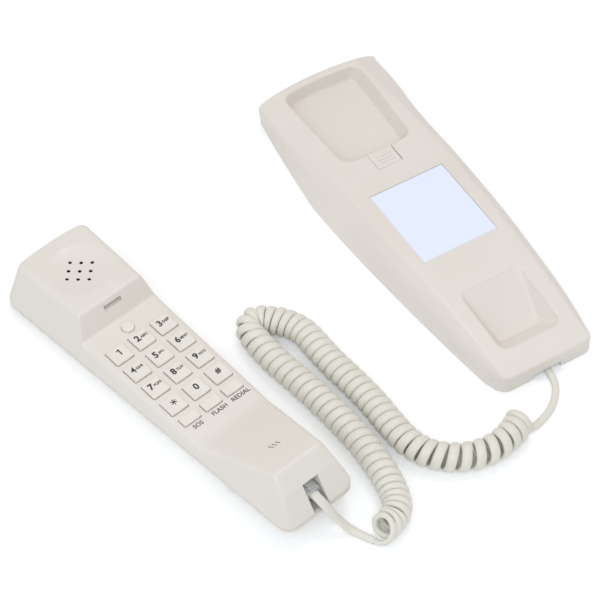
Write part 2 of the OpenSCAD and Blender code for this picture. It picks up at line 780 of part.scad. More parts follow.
module handset_face() {
    color(cream) in_handset() difference() {
        union() {
            difference() {
                face_form(0);
                face_form(hand_wall);
            }
            intersection() {
                face_form(hand_wall * 0.5);
                union() {
                    // bosses for the closing screws
                    for (p = hand_screw_at)
                        translate([p[0], p[1], hand_boss_z]) cylinder(r = hand_boss_r, h = 30, $fn = 32);
                    // posts for the board
                    for (p = hand_post_at)
                        translate([p[0], p[1], hand_board_z + board_t])
                            cylinder(r = hand_post_r, h = 10, $fn = 32);
                    // pad under the ear dish, with a ring round the receiver capsule
                    translate([0, capsule_y, ear_face_z(capsule_y)]) rotate([-ear_tilt, 0, 0])
                        translate([0, 0, -hand_wall - dish_pad - 5]) difference() {
                            cylinder(r = capsule_r + fit + 1.3, h = 6.5 + dish_pad, $fn = fine);
                            translate([0, 0, -1]) cylinder(r = capsule_r + fit, h = 6, $fn = fine);
                        }
                    // tube round the microphone
                    translate([0, mic_y, wedge_z(mic_y)]) rotate([-wedge_tilt, 0, 0])
                        translate([0, 0, -hand_wall - 4.5]) difference() {
                            cylinder(r = mic_r + fit + 1.2, h = 6, $fn = 48);
                            translate([0, 0, -1]) cylinder(r = mic_r + fit, h = 5.5, $fn = 48);
                        }
                    // cheeks and roof of the pocket that the plug sits in
                    translate([0, -mouth_end, part_z_mouth])
                        block(cord_notch_w + 2.4, 2 * (mouth_end + hand_jack_y - 0.6),
                            cord_notch_z + 1.2 - part_z_mouth);
                }
            }
        }
        // key openings
        for (c = [-1:1], r = [0:3])
            translate([c * key_pitch_x, (1.5 - r) * key_pitch_y, hand_board_z + 4])
                round_plate(key_w + 2 * key_fit, key_len + 2 * key_fit, key_r + key_fit, 12);
        for (c = [-1:1])
            translate([func_x(c), func_y, hand_board_z + 4])
                round_plate(key_w + 2 * key_fit, func_len + 2 * key_fit, key_r + key_fit, 12);
        translate([0, button_y, hand_board_z + 4]) cylinder(r = button_d / 2 + key_fit, h = 12, $fn = 48);
        // ear dish and its nine holes
        dish_r = (pow(dish_d / 2, 2) + pow(dish_depth, 2)) / (2 * dish_depth);
        translate([0, capsule_y, ear_face_z(capsule_y)]) rotate([-ear_tilt, 0, 0])
            translate([0, 0, dish_r - dish_depth]) sphere(r = dish_r, $fn = 200);
        for (i = [-1:1], j = [-1:1])
            translate([(i + j) * 4, capsule_y + (i - j) * 3.75, ear_z - 8])
                cylinder(r = 0.9, h = 12, $fn = 24);
        // slot in the step that takes the wall hook
        translate([-5.35, step_low - 1, 26]) cube([10.7, 12, 2.3]);
        // microphone slits
        for (i = [-1:1])
            translate([i * 2.1 + 0.4, mic_y, wedge_z(mic_y) - 4]) rotate([0, 0, 25]) block(0.8, 2.8, 8);
        // notch for the cord in the end wall
        translate([-cord_notch_w / 2, -mouth_end - 5, 5])
            cube([cord_notch_w, mouth_end + 5 + hand_jack_y - 0.6, cord_notch_z - 5]);
        // pilot bores
        for (p = hand_screw_at)
            translate([p[0], p[1], 0])
                cylinder(r = hand_screw_r + thread_fit, h = hand_boss_z + 5, $fn = 32);
        for (p = hand_post_at)
            translate([p[0], p[1], 0])
                cylinder(r = hand_board_screw_r + thread_fit, h = hand_board_z + board_t + 3.2, $fn = 24);
    }
}

seam = 0.05;
// Underside of the back shell: flat in the middle, curving up to both ends.
belly_low = -42;
belly_top = 66;
function belly_z(y) = y < belly_low
    ? (part_z_mouth - rim_h) * pow((belly_low - y) / (mouth_end + belly_low), 2)
    : (y > belly_top ? (part_z_ear - rim_h) * pow((y - belly_top) / (ear_end - belly_top), 2) : 0);

function back_half_ring(y, inset) = let(
        w = part_half(y) - inset, zp = part_z(y), zr = zp - rim_h,
        zb = min(belly_z(y) + inset, zr - 0.4), d = zr - zb)
    [[w - 11.5, zb], [w - 8.5, zb + d * 0.08], [w - 4.6, zb + d * 0.38],
     [w - 1.2, zb + d * 0.84], [w - 0.1, zr + 0.15], [w, zp + (inset > 0 ? 2 : -seam)]];

back_stations = [for (t = [0:7:mouth_end + ear_end - 5]) t - mouth_end + 2];
module back_form(inset) {
    intersection() {
        loft([for (y = concat([-mouth_end - 0.5], back_stations, [ear_end + 0.5]))
            ring_at(y, back_half_ring(y, inset))]);
        translate([0, 0, -1]) linear_extrude(ridge_z) hand_plan(inset);
    }
}

module handset_back() {
    color(cream) in_handset() difference() {
        union() {
            difference() {
                back_form(0);
                back_form(hand_wall);
            }
            // posts under the closing bosses, ribs that carry the jack and the
            // low walls round the balance weight
            intersection() {
                back_form(hand_wall * 0.5);
                union() {
                    for (p = hand_screw_at)
                        translate([p[0], p[1], 0])
                            cylinder(r = hand_boss_r + 0.4, h = hand_boss_z - seam, $fn = 32);
                    for (s = [-1, 1])
                        translate([s * (weight_w / 2 + fit + 0.6), weight_y, 0]) block(1.2, weight_len, 5);
                    for (s = [-1, 1])
                        translate([s * 4, hand_jack_y + jack_len / 2, 0]) block(1.6, jack_len - 1, 12);
                }
            }
            for (s = [-1, 1])
                translate([s * 4, hand_jack_y + jack_len / 2, belly_z(hand_jack_y) + 1])
                    block(1.6, jack_len - 1, plug_axis_z - jack_axis_z - belly_z(hand_jack_y) - 1 - seam);
        }
        // recessed screw heads
        for (p = hand_screw_at) translate([p[0], p[1], 0]) {
            cylinder(r = hand_screw_r + 0.3, h = 30, $fn = 32);
            translate([0, 0, -1]) cylinder(r = 2.6, h = belly_z(p[1]) + 3.6, $fn = 32);
        }
    }
}

module handset_screws() {
    color(steel) in_handset() for (p = hand_screw_at)
        translate([p[0], p[1], belly_z(p[1]) + 1.3])
            tapping_screw(hand_screw_r, hand_boss_z - belly_z(p[1]) + 2.4, 2.4, 1.25);
}

module handset_board() {
    color(board_green) in_handset() difference() {
        translate([-hand_board_w / 2, hand_board_low, hand_board_z])
            cube([hand_board_w, hand_board_top - hand_board_low, board_t]);
        for (p = hand_post_at)
            translate([p[0], p[1], hand_board_z - 1])
                cylinder(r = hand_board_hole_r, h = board_t + 2, $fn = 24);
    }
    color(black_plastic) in_handset() {
        translate([0, hand_board_low + 24, hand_board_z - 2]) block(9, 20, 2);
        translate([-hand_board_w * 0.3, hand_board_top - 22.5, hand_board_z - 2.8])
            cylinder(r = 3, h = 2.8, $fn = 32);
        translate([hand_board_w * 0.3, hand_board_top - 26.5, hand_board_z - 1.8]) block(7, 6, 1.8);
    }
}

module handset_board_screws() {
    color(steel) in_handset() for (p = hand_post_at)
        translate([p[0], p[1], hand_board_z - board_screw_head_h - thread_fit])
            tapping_screw(hand_board_screw_r, board_t + board_screw_grip - 0.2,
                hand_board_screw_head_r, board_screw_head_h);
}

// The domes are shown pressed flat, so that a key at its full travel meets them.
dome_h = 1.2;
dome_top = hand_board_z + board_t + mat_t + dome_h;
module keypad_mat() {
    top = hand_board_z + board_t;
    color([0.55, 0.57, 0.58]) in_handset() {
        translate([-hand_board_w / 2 + 0.5, mat_low, top])
            cube([hand_board_w - 1, mat_top - mat_low, mat_t]);
        for (c = [-1:1]) {
            for (r = [0:3]) translate([c * key_pitch_x, (1.5 - r) * key_pitch_y, top])
                cylinder(r1 = 3.6, r2 = 2.6, h = mat_t + dome_h, $fn = 24);
            translate([func_x(c), func_y, top]) cylinder(r1 = 2.4, r2 = 1.6, h = mat_t + dome_h, $fn = 24);
        }
    }
}

flange_x = 0.3;
// One key: a hollow cap with a flange that stops it under the shell.
module key_cap(x, y, l) {
    top = key_face_z + key_rise;
    low = flange_top - flange_t;
    roof = 1.4;
    color(warm_cream) in_handset() translate([x, y, 0]) difference() {
        union() {
            translate([0, 0, dome_top + key_travel + 0.1]) cylinder(r = 1.1, h = 2, $fn = 24);
            translate([0, 0, low]) round_plate(key_w, l, key_r, top - low - 0.35);
            translate([0, 0, top - 0.36]) round_plate(key_w - 0.5, l - 0.5, key_r, 0.36);
            translate([0, 0, low]) block(key_w + 2 * flange_x, l + 2 * flange, flange_t);
        }
        difference() {
            translate([0, 0, low - 1]) block(key_w - 2.4, l - 2, top - low + 1 - roof);
            // plunger over the dome
            translate([0, 0, low - 2]) cylinder(r = 1.1, h = top - low + 2, $fn = 24);
        }
        // shallow hollow for the fingertip
        finger_r = 30;
        translate([0, 0, top + finger_r - 0.3]) rotate([90, 0, 0])
            cylinder(r = finger_r, h = l + 2, center = true, $fn = 180);
    }
}

module pad_key(c, r) { key_cap(c * key_pitch_x, (1.5 - r) * key_pitch_y, key_len); }
module func_key(c) { key_cap(func_x(c), func_y, func_len); }
module key_1() { pad_key(-1, 0); }
module key_2() { pad_key(0, 0); }
module key_3() { pad_key(1, 0); }
module key_4() { pad_key(-1, 1); }
module key_5() { pad_key(0, 1); }
module key_6() { pad_key(1, 1); }
module key_7() { pad_key(-1, 2); }
module key_8() { pad_key(0, 2); }
module key_9() { pad_key(1, 2); }
module key_star() { pad_key(-1, 3); }
module key_0() { pad_key(0, 3); }
module key_hash() { pad_key(1, 3); }
module key_sos() { func_key(-1); }
module key_flash() { func_key(0); }
module key_redial() { func_key(1); }

module hook_button() {
    low = flange_top - flange_t;
    color(warm_cream) in_handset() translate([0, button_y, 0]) {
        translate([0, 0, low]) cylinder(r = button_d / 2, h = key_face_z + 1 - low, $fn = 48);
        translate([0, 0, key_face_z + 1]) cylinder(r = button_d / 2 - 0.4, h = 0.3, $fn = 48);
        translate([0, 0, low]) cylinder(r = button_d / 2 + flange, h = flange_t, $fn = 48);
        translate([0, 0, switch_top + button_travel + 0.1])
            cylinder(r = 1.4, h = low - switch_top - button_travel, $fn = 32);
    }
}

switch_top = hand_board_z + board_t + 1.5;
module hook_switch() {
    color(black_plastic) in_handset() translate([0, button_y, hand_board_z + board_t]) {
        block(6, 6, 1);
        cylinder(r = 1.7, h = 1.5, $fn = 32);
    }
}

module receiver_capsule() {
    h = 6;
    color(black_plastic) in_handset()
        translate([0, capsule_y, ear_face_z(capsule_y)]) rotate([-ear_tilt, 0, 0])
        translate([0, 0, -hand_wall - dish_pad - 0.25 - h]) {
            cylinder(r = capsule_r, h = h, $fn = fine);
            translate([0, 0, -1.6]) cylinder(r = 9, h = 1.6, $fn = fine);
        }
}

module microphone_capsule() {
    h = 4.5;
    color(steel) in_handset() translate([0, mic_y, wedge_z(mic_y)]) rotate([-wedge_tilt, 0, 0])
        translate([0, 0, -hand_wall - 0.3 - h]) difference() {
            cylinder(r = mic_r, h = h, $fn = 48);
            translate([0, 0, h - 0.3]) cylinder(r = 1, h = 1, $fn = 24);
        }
}

weight_w = 22;
weight_len = 34;
weight_h = 4;
weight_y = 12;
module balance_weight() {
    color(steel) in_handset() translate([0, weight_y, hand_wall + 0.1]) difference() {
        block(weight_w, weight_len, weight_h);
        for (s = [-1, 1])
            translate([0, s * weight_len * 0.3, -1]) cylinder(r = 2, h = weight_h + 2, $fn = 32);
    }
}

module handset_jack() {
    color(black_plastic) in_handset()
        translate([0, hand_jack_y, plug_axis_z - jack_axis_z]) modular_jack(jack_w, plug_w + 0.3);
}

module handset_plug() {
    color(clear_plastic) in_handset() translate([0, hand_jack_y, plug_axis_z]) modular_plug();
}

// ---- cord ----

curl_r = (curl_d - cord_t) / 2;
floor_gap = 0.05;
axis_z = curl_d / 2 + floor_gap;
lead_z = axis_z - curl_r;

// Route of the coil's axis on the table, from the handset's end to the base's.
coil_route = [[-118, -150.5], [-113.5, -147.5], [-109, -143], [-106, -136], [-104.5, -127], [-103.8, -116],
    [-103.4, -105], [-104.1, -94], [-105.4, -81], [-107.4, -68], [-109.7, -55], [-112.2, -43], [-114, -32],
    [-114.5, -21], [-111, -11], [-102.5, -7.5], [-94.5, -12], [-91.3, -21], [-90.7, -32], [-90.6, -44],
    [-89.5, -57], [-87.5, -71], [-86, -85], [-85.6, -100], [-84, -114], [-79, -125], [-70, -133],
    [-60, -137], [-49.5, -137.8], [-41, -135.8], [-35.5, -132], [-31.5, -126.5]];

// Points of the lead from the handset's plug to the coil.
mouth_out = plug_out - hand_jack_y;
plug_end = [hand_x + mouth_out * sin(hand_turn), hand_y - mouth_out * cos(hand_turn)];
out_dir = [sin(hand_turn), -cos(hand_turn)];

// Smooth curve through points: k steps to each stretch.
function spline_point(p, i, t) = let(
        n = len(p), a = p[max(0, i - 1)], b = p[i], c = p[i + 1], d = p[min(n - 1, i + 2)])
    0.5 * ((2 * b) + (c - a) * t + (2 * a - 5 * b + 4 * c - d) * t * t
        + (3 * b - a - 3 * c + d) * t * t * t);
function spline(p, k) = concat(
    [for (i = [0:len(p) - 2], j = [0:k - 1]) spline_point(p, i, j / k)], [p[len(p) - 1]]);

// Running length along a list of points.
function run_lengths(p) = [for (i = 0, s = 0; i < len(p);
    s = s + (i + 1 < len(p) ? norm(p[i + 1] - p[i]) : 0), i = i + 1) s];

axis_line = spline(coil_route, 12);
axis_run = run_lengths(axis_line);
axis_len = axis_run[len(axis_run) - 1];

function tangent(p, i) = unit(p[min(len(p) - 1, i + 1)] - p[max(0, i - 1)]);
function turn_at(p, run, i) = let(
        a = tangent(p, max(0, i - 3)), b = tangent(p, min(len(p) - 1, i + 3)),
        d = run[min(len(p) - 1, i + 3)] - run[max(0, i - 3)])
    asin(min(1, abs(a[0] * b[1] - a[1] * b[0]))) * PI / 180 / d;

// Turns of the coil made up to each point: the step opens where the axis bends,
// so that the curls never touch at the inside of the bend.
step_at = [for (i = [0:len(axis_line) - 1])
    (cord_w + curl_gap) / (1 - min(0.62, turn_at(axis_line, axis_run, i) * (curl_r + cord_t / 2)))];
turns_to = [for (i = 0, s = 0; i < len(axis_line);
    s = s + (i + 1 < len(axis_line)
        ? (axis_run[i + 1] - axis_run[i]) * 2 / (step_at[i] + step_at[i + 1]) : 0),
    i = i + 1) s];
curls = floor(turns_to[len(turns_to) - 1]);
rings_per_curl = 8;

// Place along the axis where a number of turns is reached, as index and share.
function find(list, v, lo, hi) = hi - lo <= 1 ? lo
    : let(mid = floor((lo + hi) / 2)) (list[mid] <= v ? find(list, v, mid, hi) : find(list, v, lo, mid));
turn_scale = turns_to[len(turns_to) - 1] / curls;
function axis_place(turn) = let(
        v = turn * turn_scale, i = find(turns_to, v, 0, len(turns_to) - 1),
        t = clamp01((v - turns_to[i]) / (turns_to[i + 1] - turns_to[i])))
    [mix(axis_line[i], axis_line[i + 1], t), unit(mix(tangent(axis_line, i), tangent(axis_line, i + 1), t))];

// A flat ring: centre c, across u (the cord's width) and v (its thickness).
function flat_ring(c, u, v, sides) = sides == 6
    ? [c + u * cord_w / 2, c + u * cord_w / 4 + v * cord_t / 2, c - u * cord_w / 4 + v * cord_t / 2,
       c - u * cord_w / 2, c - u * cord_w / 4 - v * cord_t / 2, c + u * cord_w / 4 - v * cord_t / 2]
    : [for (j = [0:sides - 1], a = j * 360 / sides)
        c + u * cord_w / 2 * cos(a) + v * cord_t / 2 * sin(a)];

// Ring of the coil at a count of turns; it starts and ends at the bottom.
function coil_ring(turn) = let(
        place = axis_place(turn), t = place[1], n = [t[1], -t[0], 0], a = turn * 360 - 90,
        radial = n * cos(a) + [0, 0, 1] * sin(a))
    flat_ring([place[0][0], place[0][1], axis_z] + radial * curl_r, [t[0], t[1], 0], radial, 6);

coil_start = axis_place(0);
coil_end = axis_place(curls);
function square_run(place, d) = let(t = place[1], n = [t[1], -t[0], 0])
    flat_ring([place[0][0], place[0][1], lead_z] + n * d, [t[0], t[1], 0], -[0, 0, 1], 6);
lead_run = cord_w + 0.5;

coil_rings = concat(
    [square_run(coil_start, -lead_run)],
    [for (k = [0:curls * rings_per_curl]) coil_ring(k / rings_per_curl)],
    [square_run(coil_end, lead_run)]);

module curly_cord() { color(cord_cream) loft([for (r = coil_rings) [for (i = [5:-1:0]) r[i]]]); }

// Least distance between points of neighbouring curls.
near_gap = min([for (i = [0:len(coil_rings) - 12], k = [6:10], a = coil_rings[i], b = coil_rings[i + k])
    norm(a - b)]);
coil_length = total([for (i = [1:len(coil_rings) - 1])
    norm((coil_rings[i][0] + coil_rings[i][3] - coil_rings[i - 1][0] - coil_rings[i - 1][3]) / 2)]);
echo(curls = curls, least_gap_mm = near_gap, coil_length_mm = coil_length, axis_length_mm = axis_len);  // curly_cord

// A lead: rings square to its route, its width kept level.
function lead_ring(p, i) = let(
        t = i == 0 ? unit(p[1] - p[0]) : i == len(p) - 1 ? unit(p[i] - p[i - 1]) : unit(p[i + 1] - p[i - 1]),
        u = unit([-t[1], t[0], 0]), v = cross(t, u))
    flat_ring(p[i], u, v, 8);
module lead(points) { color(cord_cream) loft([for (i = [0:len(points) - 1]) lead_ring(points, i)]); }

function coil_point(place, d) = let(t = place[1], n = [t[1], -t[0], 0])
    [place[0][0], place[0][1], lead_z] + n * d;

// Each lead starts straight out of its plug and ends square to the coil's end.
joint_gap = 0.05;
handset_lead_points = concat([
    [plug_end[0] + out_dir[0] * joint_gap, plug_end[1] + out_dir[1] * joint_gap, plug_axis_z - 0.6]],
    spline([[plug_end[0] + out_dir[0] * 2, plug_end[1] + out_dir[1] * 2, plug_axis_z - 0.6],
        [-141.5, -129, 18], [-139.5, -134, 13.5], [-137, -138.5, 8.5], [-134.5, -142, 4.6],
        [-131.5, -144.7, 2.3], [-127.5, -146.6, lead_z],
        coil_point(coil_start, -lead_run - 1.5)], 3),
    [coil_point(coil_start, -lead_run - joint_gap)]);

base_lead_points = concat([
    [0, jack_low - base_len / 2 - plug_out - joint_gap, jack_lift + jack_axis_z - 0.6]],
    spline([[0, jack_low - base_len / 2 - plug_out - 1.2, jack_lift + jack_axis_z - 0.6],
        [0, -63, 3.3], [0, -66.5, 2], [0, -70, 1.6], [0, -78, 1.6], [0, -88, 1.6], [0, -98, 1.6],
        [0, -106, 1.6], [0.3, -112, lead_z], [-1, -118.5, lead_z], [-5, -125, lead_z],
        [-11, -129.8, lead_z], [-18, -132, lead_z],
        coil_point(coil_end, lead_run + 1.5)], 3),
    [coil_point(coil_end, lead_run + joint_gap)]);

module handset_lead() { lead(handset_lead_points); }
module base_lead() { lead(base_lead_points); }

base_housing();
back_plate();
memo_card();
card_cover();
wall_hook();
base_screws();
base_board();
base_board_screws();
ringer();
line_jack();
base_jack();
base_plug();
base_lead();
curly_cord();
handset_lead();
handset_plug();
handset_jack();
handset_face();
handset_back();
handset_screws();
handset_board();
handset_board_screws();
keypad_mat();
key_1();
key_2();
key_3();
key_4();
key_5();
key_6();
key_7();
key_8();
key_9();
key_star();
key_0();
key_hash();
key_sos();
key_flash();
key_redial();
hook_button();
hook_switch();
receiver_capsule();
microphone_capsule();
balance_weight();
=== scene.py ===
import math
import bpy
from mathutils import Matrix, Vector


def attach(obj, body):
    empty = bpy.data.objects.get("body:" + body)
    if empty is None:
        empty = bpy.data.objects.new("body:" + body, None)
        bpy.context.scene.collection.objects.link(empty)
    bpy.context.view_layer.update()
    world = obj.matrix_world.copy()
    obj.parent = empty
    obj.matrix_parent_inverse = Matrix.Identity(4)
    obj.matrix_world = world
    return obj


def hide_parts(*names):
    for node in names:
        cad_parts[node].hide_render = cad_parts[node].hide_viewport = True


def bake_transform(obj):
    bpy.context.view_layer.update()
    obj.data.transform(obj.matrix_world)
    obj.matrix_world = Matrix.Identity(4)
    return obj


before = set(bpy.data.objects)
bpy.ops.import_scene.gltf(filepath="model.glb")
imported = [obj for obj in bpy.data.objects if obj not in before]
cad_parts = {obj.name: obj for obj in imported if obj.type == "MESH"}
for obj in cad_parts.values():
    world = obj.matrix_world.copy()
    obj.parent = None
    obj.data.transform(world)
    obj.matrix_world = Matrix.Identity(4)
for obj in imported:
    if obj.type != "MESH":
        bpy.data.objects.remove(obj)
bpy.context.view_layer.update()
bpy.ops.object.select_all(action="DESELECT")

# ---- Camera: stands in front of the lower ends of the base and the handset and
# looks down at them across the table through a long lens.
eye = bpy.data.cameras.new("camera")
eye.lens = 156.0
eye.sensor_width = 36.0
eye.clip_start = 0.05
eye.clip_end = 20.0
camera = bpy.data.objects.new("camera", eye)
bpy.context.scene.collection.objects.link(camera)
camera.location = (-0.508797, -0.705840, 1.013018)
camera.rotation_mode = "QUATERNION"
camera.rotation_quaternion = (Vector((-0.07955, -0.00754, 0.0)) - camera.location).to_track_quat("-Z", "Y")
bpy.context.scene.camera = camera


# ---- Handset cord: one flat four-core lead in soft cream vinyl, wound hot into
# curls. It runs straight out of the base's plug, through the channel under the
# back plate, into the coil, and out again to the handset's plug.
class Finish:
    """An output socket in a material. Sums and products of it add Math nodes."""

    def __init__(self, tree, socket=None):
        self.tree, self.socket = tree, socket

    def make(self, kind, settings=None, inputs=None, out=0):
        node = self.tree.nodes.new(kind)
        for name, value in (settings or {}).items():
            setattr(node, name, value)
        for name, value in (inputs or {}).items():
            if isinstance(value, Finish):
                self.tree.links.new(value.socket, node.inputs[name])
            else:
                node.inputs[name].default_value = value
        return Finish(self.tree, node.outputs[out])

    def math(self, operation, a, b):
        return self.make("ShaderNodeMath", {"operation": operation}, {0: a, 1: b})

    def __add__(self, other):
        return self.math("ADD", self, other)

    def __mul__(self, other):
        return self.math("MULTIPLY", self, other)

    def noise(self, scale, detail, **inputs):
        """Noise that stays with the object as it moves."""
        inputs.update({"Vector": self.make("ShaderNodeTexCoord", out=3), "Scale": scale, "Detail": detail})
        return self.make("ShaderNodeTexNoise", inputs=inputs)

    def blend(self, low, high):
        """This value, from 0 to 1, as a mix of two colours."""
        return self.make("ShaderNodeMix", {"data_type": "RGBA"}, {0: self, 6: low, 7: high}, out=2)


def new_material(name):
    """An empty material and the wrapper that adds nodes to it."""
    material = bpy.data.materials.new(name)
    material.use_nodes = True
    material.node_tree.nodes.clear()
    return material, Finish(material.node_tree)


def surface(f, **sockets):
    """The plastic shader with these sockets, linked to the material's output."""
    shader = f.make("ShaderNodeBsdfPrincipled", inputs={k.replace("_", " "): v for k, v in sockets.items()})
    f.tree.links.new(shader.socket, f.tree.nodes.new("ShaderNodeOutputMaterial").inputs["Surface"])
    return shader


def plastic(name, colour, deep, rough, grain, depth, coat=0.0):
    """Moulded plastic: slow drifts of tone, a fine mould grain and uneven gloss."""
    material, f = new_material(name)
    drift = f.noise(22.0, 3.0, Roughness=0.55)
    pores = f.noise(grain, 2.0)
    tone = f.make("ShaderNodeMapRange", inputs={0: drift, 1: 0.36, 2: 0.64, 3: 0.0, 4: 1.0})
    bump = f.make("ShaderNodeBump", inputs={"Strength": 0.35, "Distance": depth, "Height": pores})
    surface(f, Base_Color=tone.blend((*deep, 1.0), (*colour, 1.0)), Normal=bump,
            Roughness=drift * 0.08 + pores * 0.05 + (rough - 0.065), Coat_Weight=coat, Coat_Roughness=0.12)
    return material


vinyl = plastic("cord_vinyl", (0.800, 0.765, 0.685), (0.775, 0.738, 0.655), 0.40, 1400.0, 0.00004)

cord_w, cord_t = 5.2, 2.6  # the flat cord in the curls and its thickness, in millimetres
lead_w, plug_w = 3.6, 4.9  # its width where it leaves the coil, and at the handset's plug
swell = 0.4  # how much thicker the cord is in the curls
coil_r, coil_z = 5.95, 7.45  # the coil's middle radius, and the height of its middle line
lead_z = coil_z - coil_r
# where the coil's middle line runs on the table, and how far apart the curls lie there
coil_route = [(-124.3, -149.6, 5.4), (-120.4, -148.7, 4.8), (-116, -147.3, 4.0), (-111.6, -145.2, 3.6),
              (-108.4, -141.6, 3.5), (-106.4, -136.4, 3.7), (-105.1, -130.6, 4.3), (-104.2, -124.5, 4.8),
              (-103.7, -116, 5.1), (-103.4, -105, 5.2), (-104.1, -94, 5.2), (-105.4, -81, 5.2),
              (-107.4, -68, 5.2), (-109.7, -55, 5.2), (-112.2, -43, 5.2), (-113.8, -32, 5.3),
              (-114.4, -22, 5.3), (-113.6, -15.2, 4.8), (-110.2, -11, 4.3), (-105.6, -12.2, 4.3),
              (-101.3, -16.2, 4.5), (-97.2, -20.4, 4.5), (-93.8, -25.4, 4.6), (-91.6, -31.6, 4.8),
              (-91, -38.2, 4.95), (-90.6, -46, 4.95), (-89.5, -57, 4.95), (-87.5, -71, 4.95),
              (-86, -85, 4.95), (-85.6, -100, 5.0), (-84, -114, 5.2), (-79, -125, 5.7),
              (-70, -133, 6.2), (-60, -137, 6.4), (-49.5, -137.8, 6.3), (-41.5, -135.9, 5.4),
              (-36.4, -134, 4.4), (-31.2, -130.4, 4.0)]


def flowing(points, steps):
    """A smooth line through points: Catmull-Rom, so many steps to each stretch."""
    p = [Vector(q) for q in points]
    line = []
    for i in range(len(p) - 1):
        a, b, c, d = p[max(0, i - 1)], p[i], p[i + 1], p[min(len(p) - 1, i + 2)]
        for k in range(steps):
            t = k / steps
            line.append(0.5 * (2 * b + (c - a) * t + (2 * a - 5 * b + 4 * c - d) * t * t
                               + (3 * b - a - 3 * c + d) * t ** 3))
    return line + [p[-1]]


route = flowing(coil_route, 24)
axis = [Vector((q.x, q.y, coil_z)) for q in route]
along = [0.0]
for a, b in zip(axis, axis[1:]):
    along.append(along[-1] + (b - a).length)


def near(i, reach):
    """The first and last point of the middle line within reach of point i."""
    a, b = i, i
    while a > 0 and along[i] - along[a - 1] < reach:
        a -= 1
    while b < len(along) - 1 and along[b + 1] - along[i] < reach:
        b += 1
    return a, b


# a curl leans on its neighbours, so it faces the way that the coil runs for 9 mm to either side
way = []
for i in range(len(axis)):
    a, b = near(i, 9.0)
    steps = [q - p for p, q in zip(axis[a:b], axis[a + 1:b + 1])]
    way.append(sum((step.normalized() * step.length for step in steps), Vector()).normalized())
turning = []  # how sharply the coil turns to the left, per millimetre
for i in range(len(axis)):
    a, b = near(i, 3.0)
    turning.append(math.atan2(way[a].cross(way[b]).z, way[a].dot(way[b])) / (along[b] - along[a]))
turns = [0.0]
for i in range(len(axis) - 1):
    turns.append(turns[-1] + (along[i + 1] - along[i]) / route[i].z)
curls = math.floor(turns[-1])
per_curl = 36
lean_per_curl, leaning = 0.24, 2.6  # the first curls lean back, so that the coil's end looks up
tightest = 0.13  # the share of its radius that a curl loses at most in a sharp bend
gap = 0.15
rings = []  # centre, direction of the cord's width, direction of its thickness, width, thickness
at = 0
for k in range(curls * per_curl + 1):
    turn = k / per_curl
    want = turn * turns[-1] / curls
    while at < len(turns) - 2 and turns[at + 1] < want:
        at += 1
    share = min(1.0, (want - turns[at]) / (turns[at + 1] - turns[at]))
    middle, t = axis[at].lerp(axis[at + 1], share), way[at].lerp(way[at + 1], share).normalized()
    angle = turn * 2 * math.pi - math.pi / 2
    tip = lean_per_curl * max(0.0, leaning - turn)
    up = Vector((0, 0, math.cos(tip))) + t * math.sin(tip)
    out = Vector((t.y, -t.x, 0)) * math.cos(angle) + up * math.sin(angle)
    r = coil_r * (1 - min(tightest, abs(turning[at])))
    middle += t * math.sin(tip) * r * 0.5 - Vector((0, 0, coil_r - r * math.cos(tip)))
    room = route[at].z * (1 + turning[at] * math.cos(angle) * r) - gap
    if tip:
        room -= 2.1 * max(0, math.sin(angle))
    from_end = min(turn, curls - turn)
    full = min(1, from_end)
    wide = min(cord_w + 1.2 * max(0, -math.sin(angle)) * full, room, lead_w + from_end * 1.5)
    across = t * math.cos(tip) - Vector((0, 0, math.sin(tip)))
    rings.append((middle + out * r, across, out, max(1.2, wide), cord_t + swell * full))


def lead_rings(points, steps, wide=lead_w):
    """Rings along a lead, its width kept level, from this wide at the start."""
    line = flowing(points, steps)
    found = []
    for i, p in enumerate(line):
        t = (line[min(i + 1, len(line) - 1)] - line[max(i - 1, 0)]).normalized()
        u = Vector((-t.y, t.x, 0)).normalized()
        width = wide + (lead_w - wide) * (i / len(line)) ** 2
        found.append((p, u, t.cross(u), width, cord_t))
    return found


first, last = rings[0], rings[-1]


def square_off(ring, d):
    """A point d to the side of the coil's end, on the table."""
    t = ring[1]
    return (ring[0].x + t.y * d, ring[0].y - t.x * d, lead_z)


to_handset = [(-143.18, -122.93, 19.9), (-142.82, -124.9, 19.9), (-141.3, -128.5, 17.5),
              (-138.5, -132.5, 12), (-135.7, -135.6, 7), (-133, -138.7, 3.2), (-130.6, -142, 1.6),
              (-128.2, -146, 1.4), tuple(first[0])]
to_base = [tuple(last[0]), square_off(last, 3.4), (-24.7, -134.3, lead_z), (-19, -132.7, lead_z),
           (-12.7, -130, lead_z), (-7, -125.6, lead_z), (-2.6, -120, lead_z), (-0.4, -113.5, lead_z),
           (0, -106, 1.6), (0, -98, 1.6), (0, -88, 1.6), (0, -78, 1.6), (0, -70, 1.6), (0, -66.5, 2),
           (0, -63, 3.3), (0, -59.7, 4.4), (0, -58.55, 4.4)]
handset_side = lead_rings(to_handset, 8, plug_w)
base_side = lead_rings(to_base, 6)
everything = []
for part in (handset_side[:-1], rings, base_side[1:]):
    for centre, u, v, w, thick in part:
        if everything:  # keeps the flat faces from flipping between one ring and the next
            if u.dot(everything[-1][1]) < 0:
                u = -u
            if v.dot(everything[-1][2]) < 0:
                v = -v
        everything.append((centre, u, v, w, thick))


def close_up(reach, flat=True):
    """Welds the active grid's points within this reach in metres and closes its open ends."""
    bpy.ops.object.mode_set(mode="EDIT")
    bpy.ops.mesh.select_all(action="SELECT")
    bpy.ops.mesh.remove_doubles(threshold=reach)
    bpy.ops.mesh.select_all(action="DESELECT")
    bpy.ops.mesh.select_non_manifold()
    if flat:
        bpy.ops.mesh.edge_face_add()
    else:
        bpy.ops.mesh.fill_holes(sides=0)
    bpy.ops.mesh.select_all(action="SELECT")
    bpy.ops.mesh.normals_make_consistent(inside=False)
    bpy.ops.object.mode_set(mode="OBJECT")


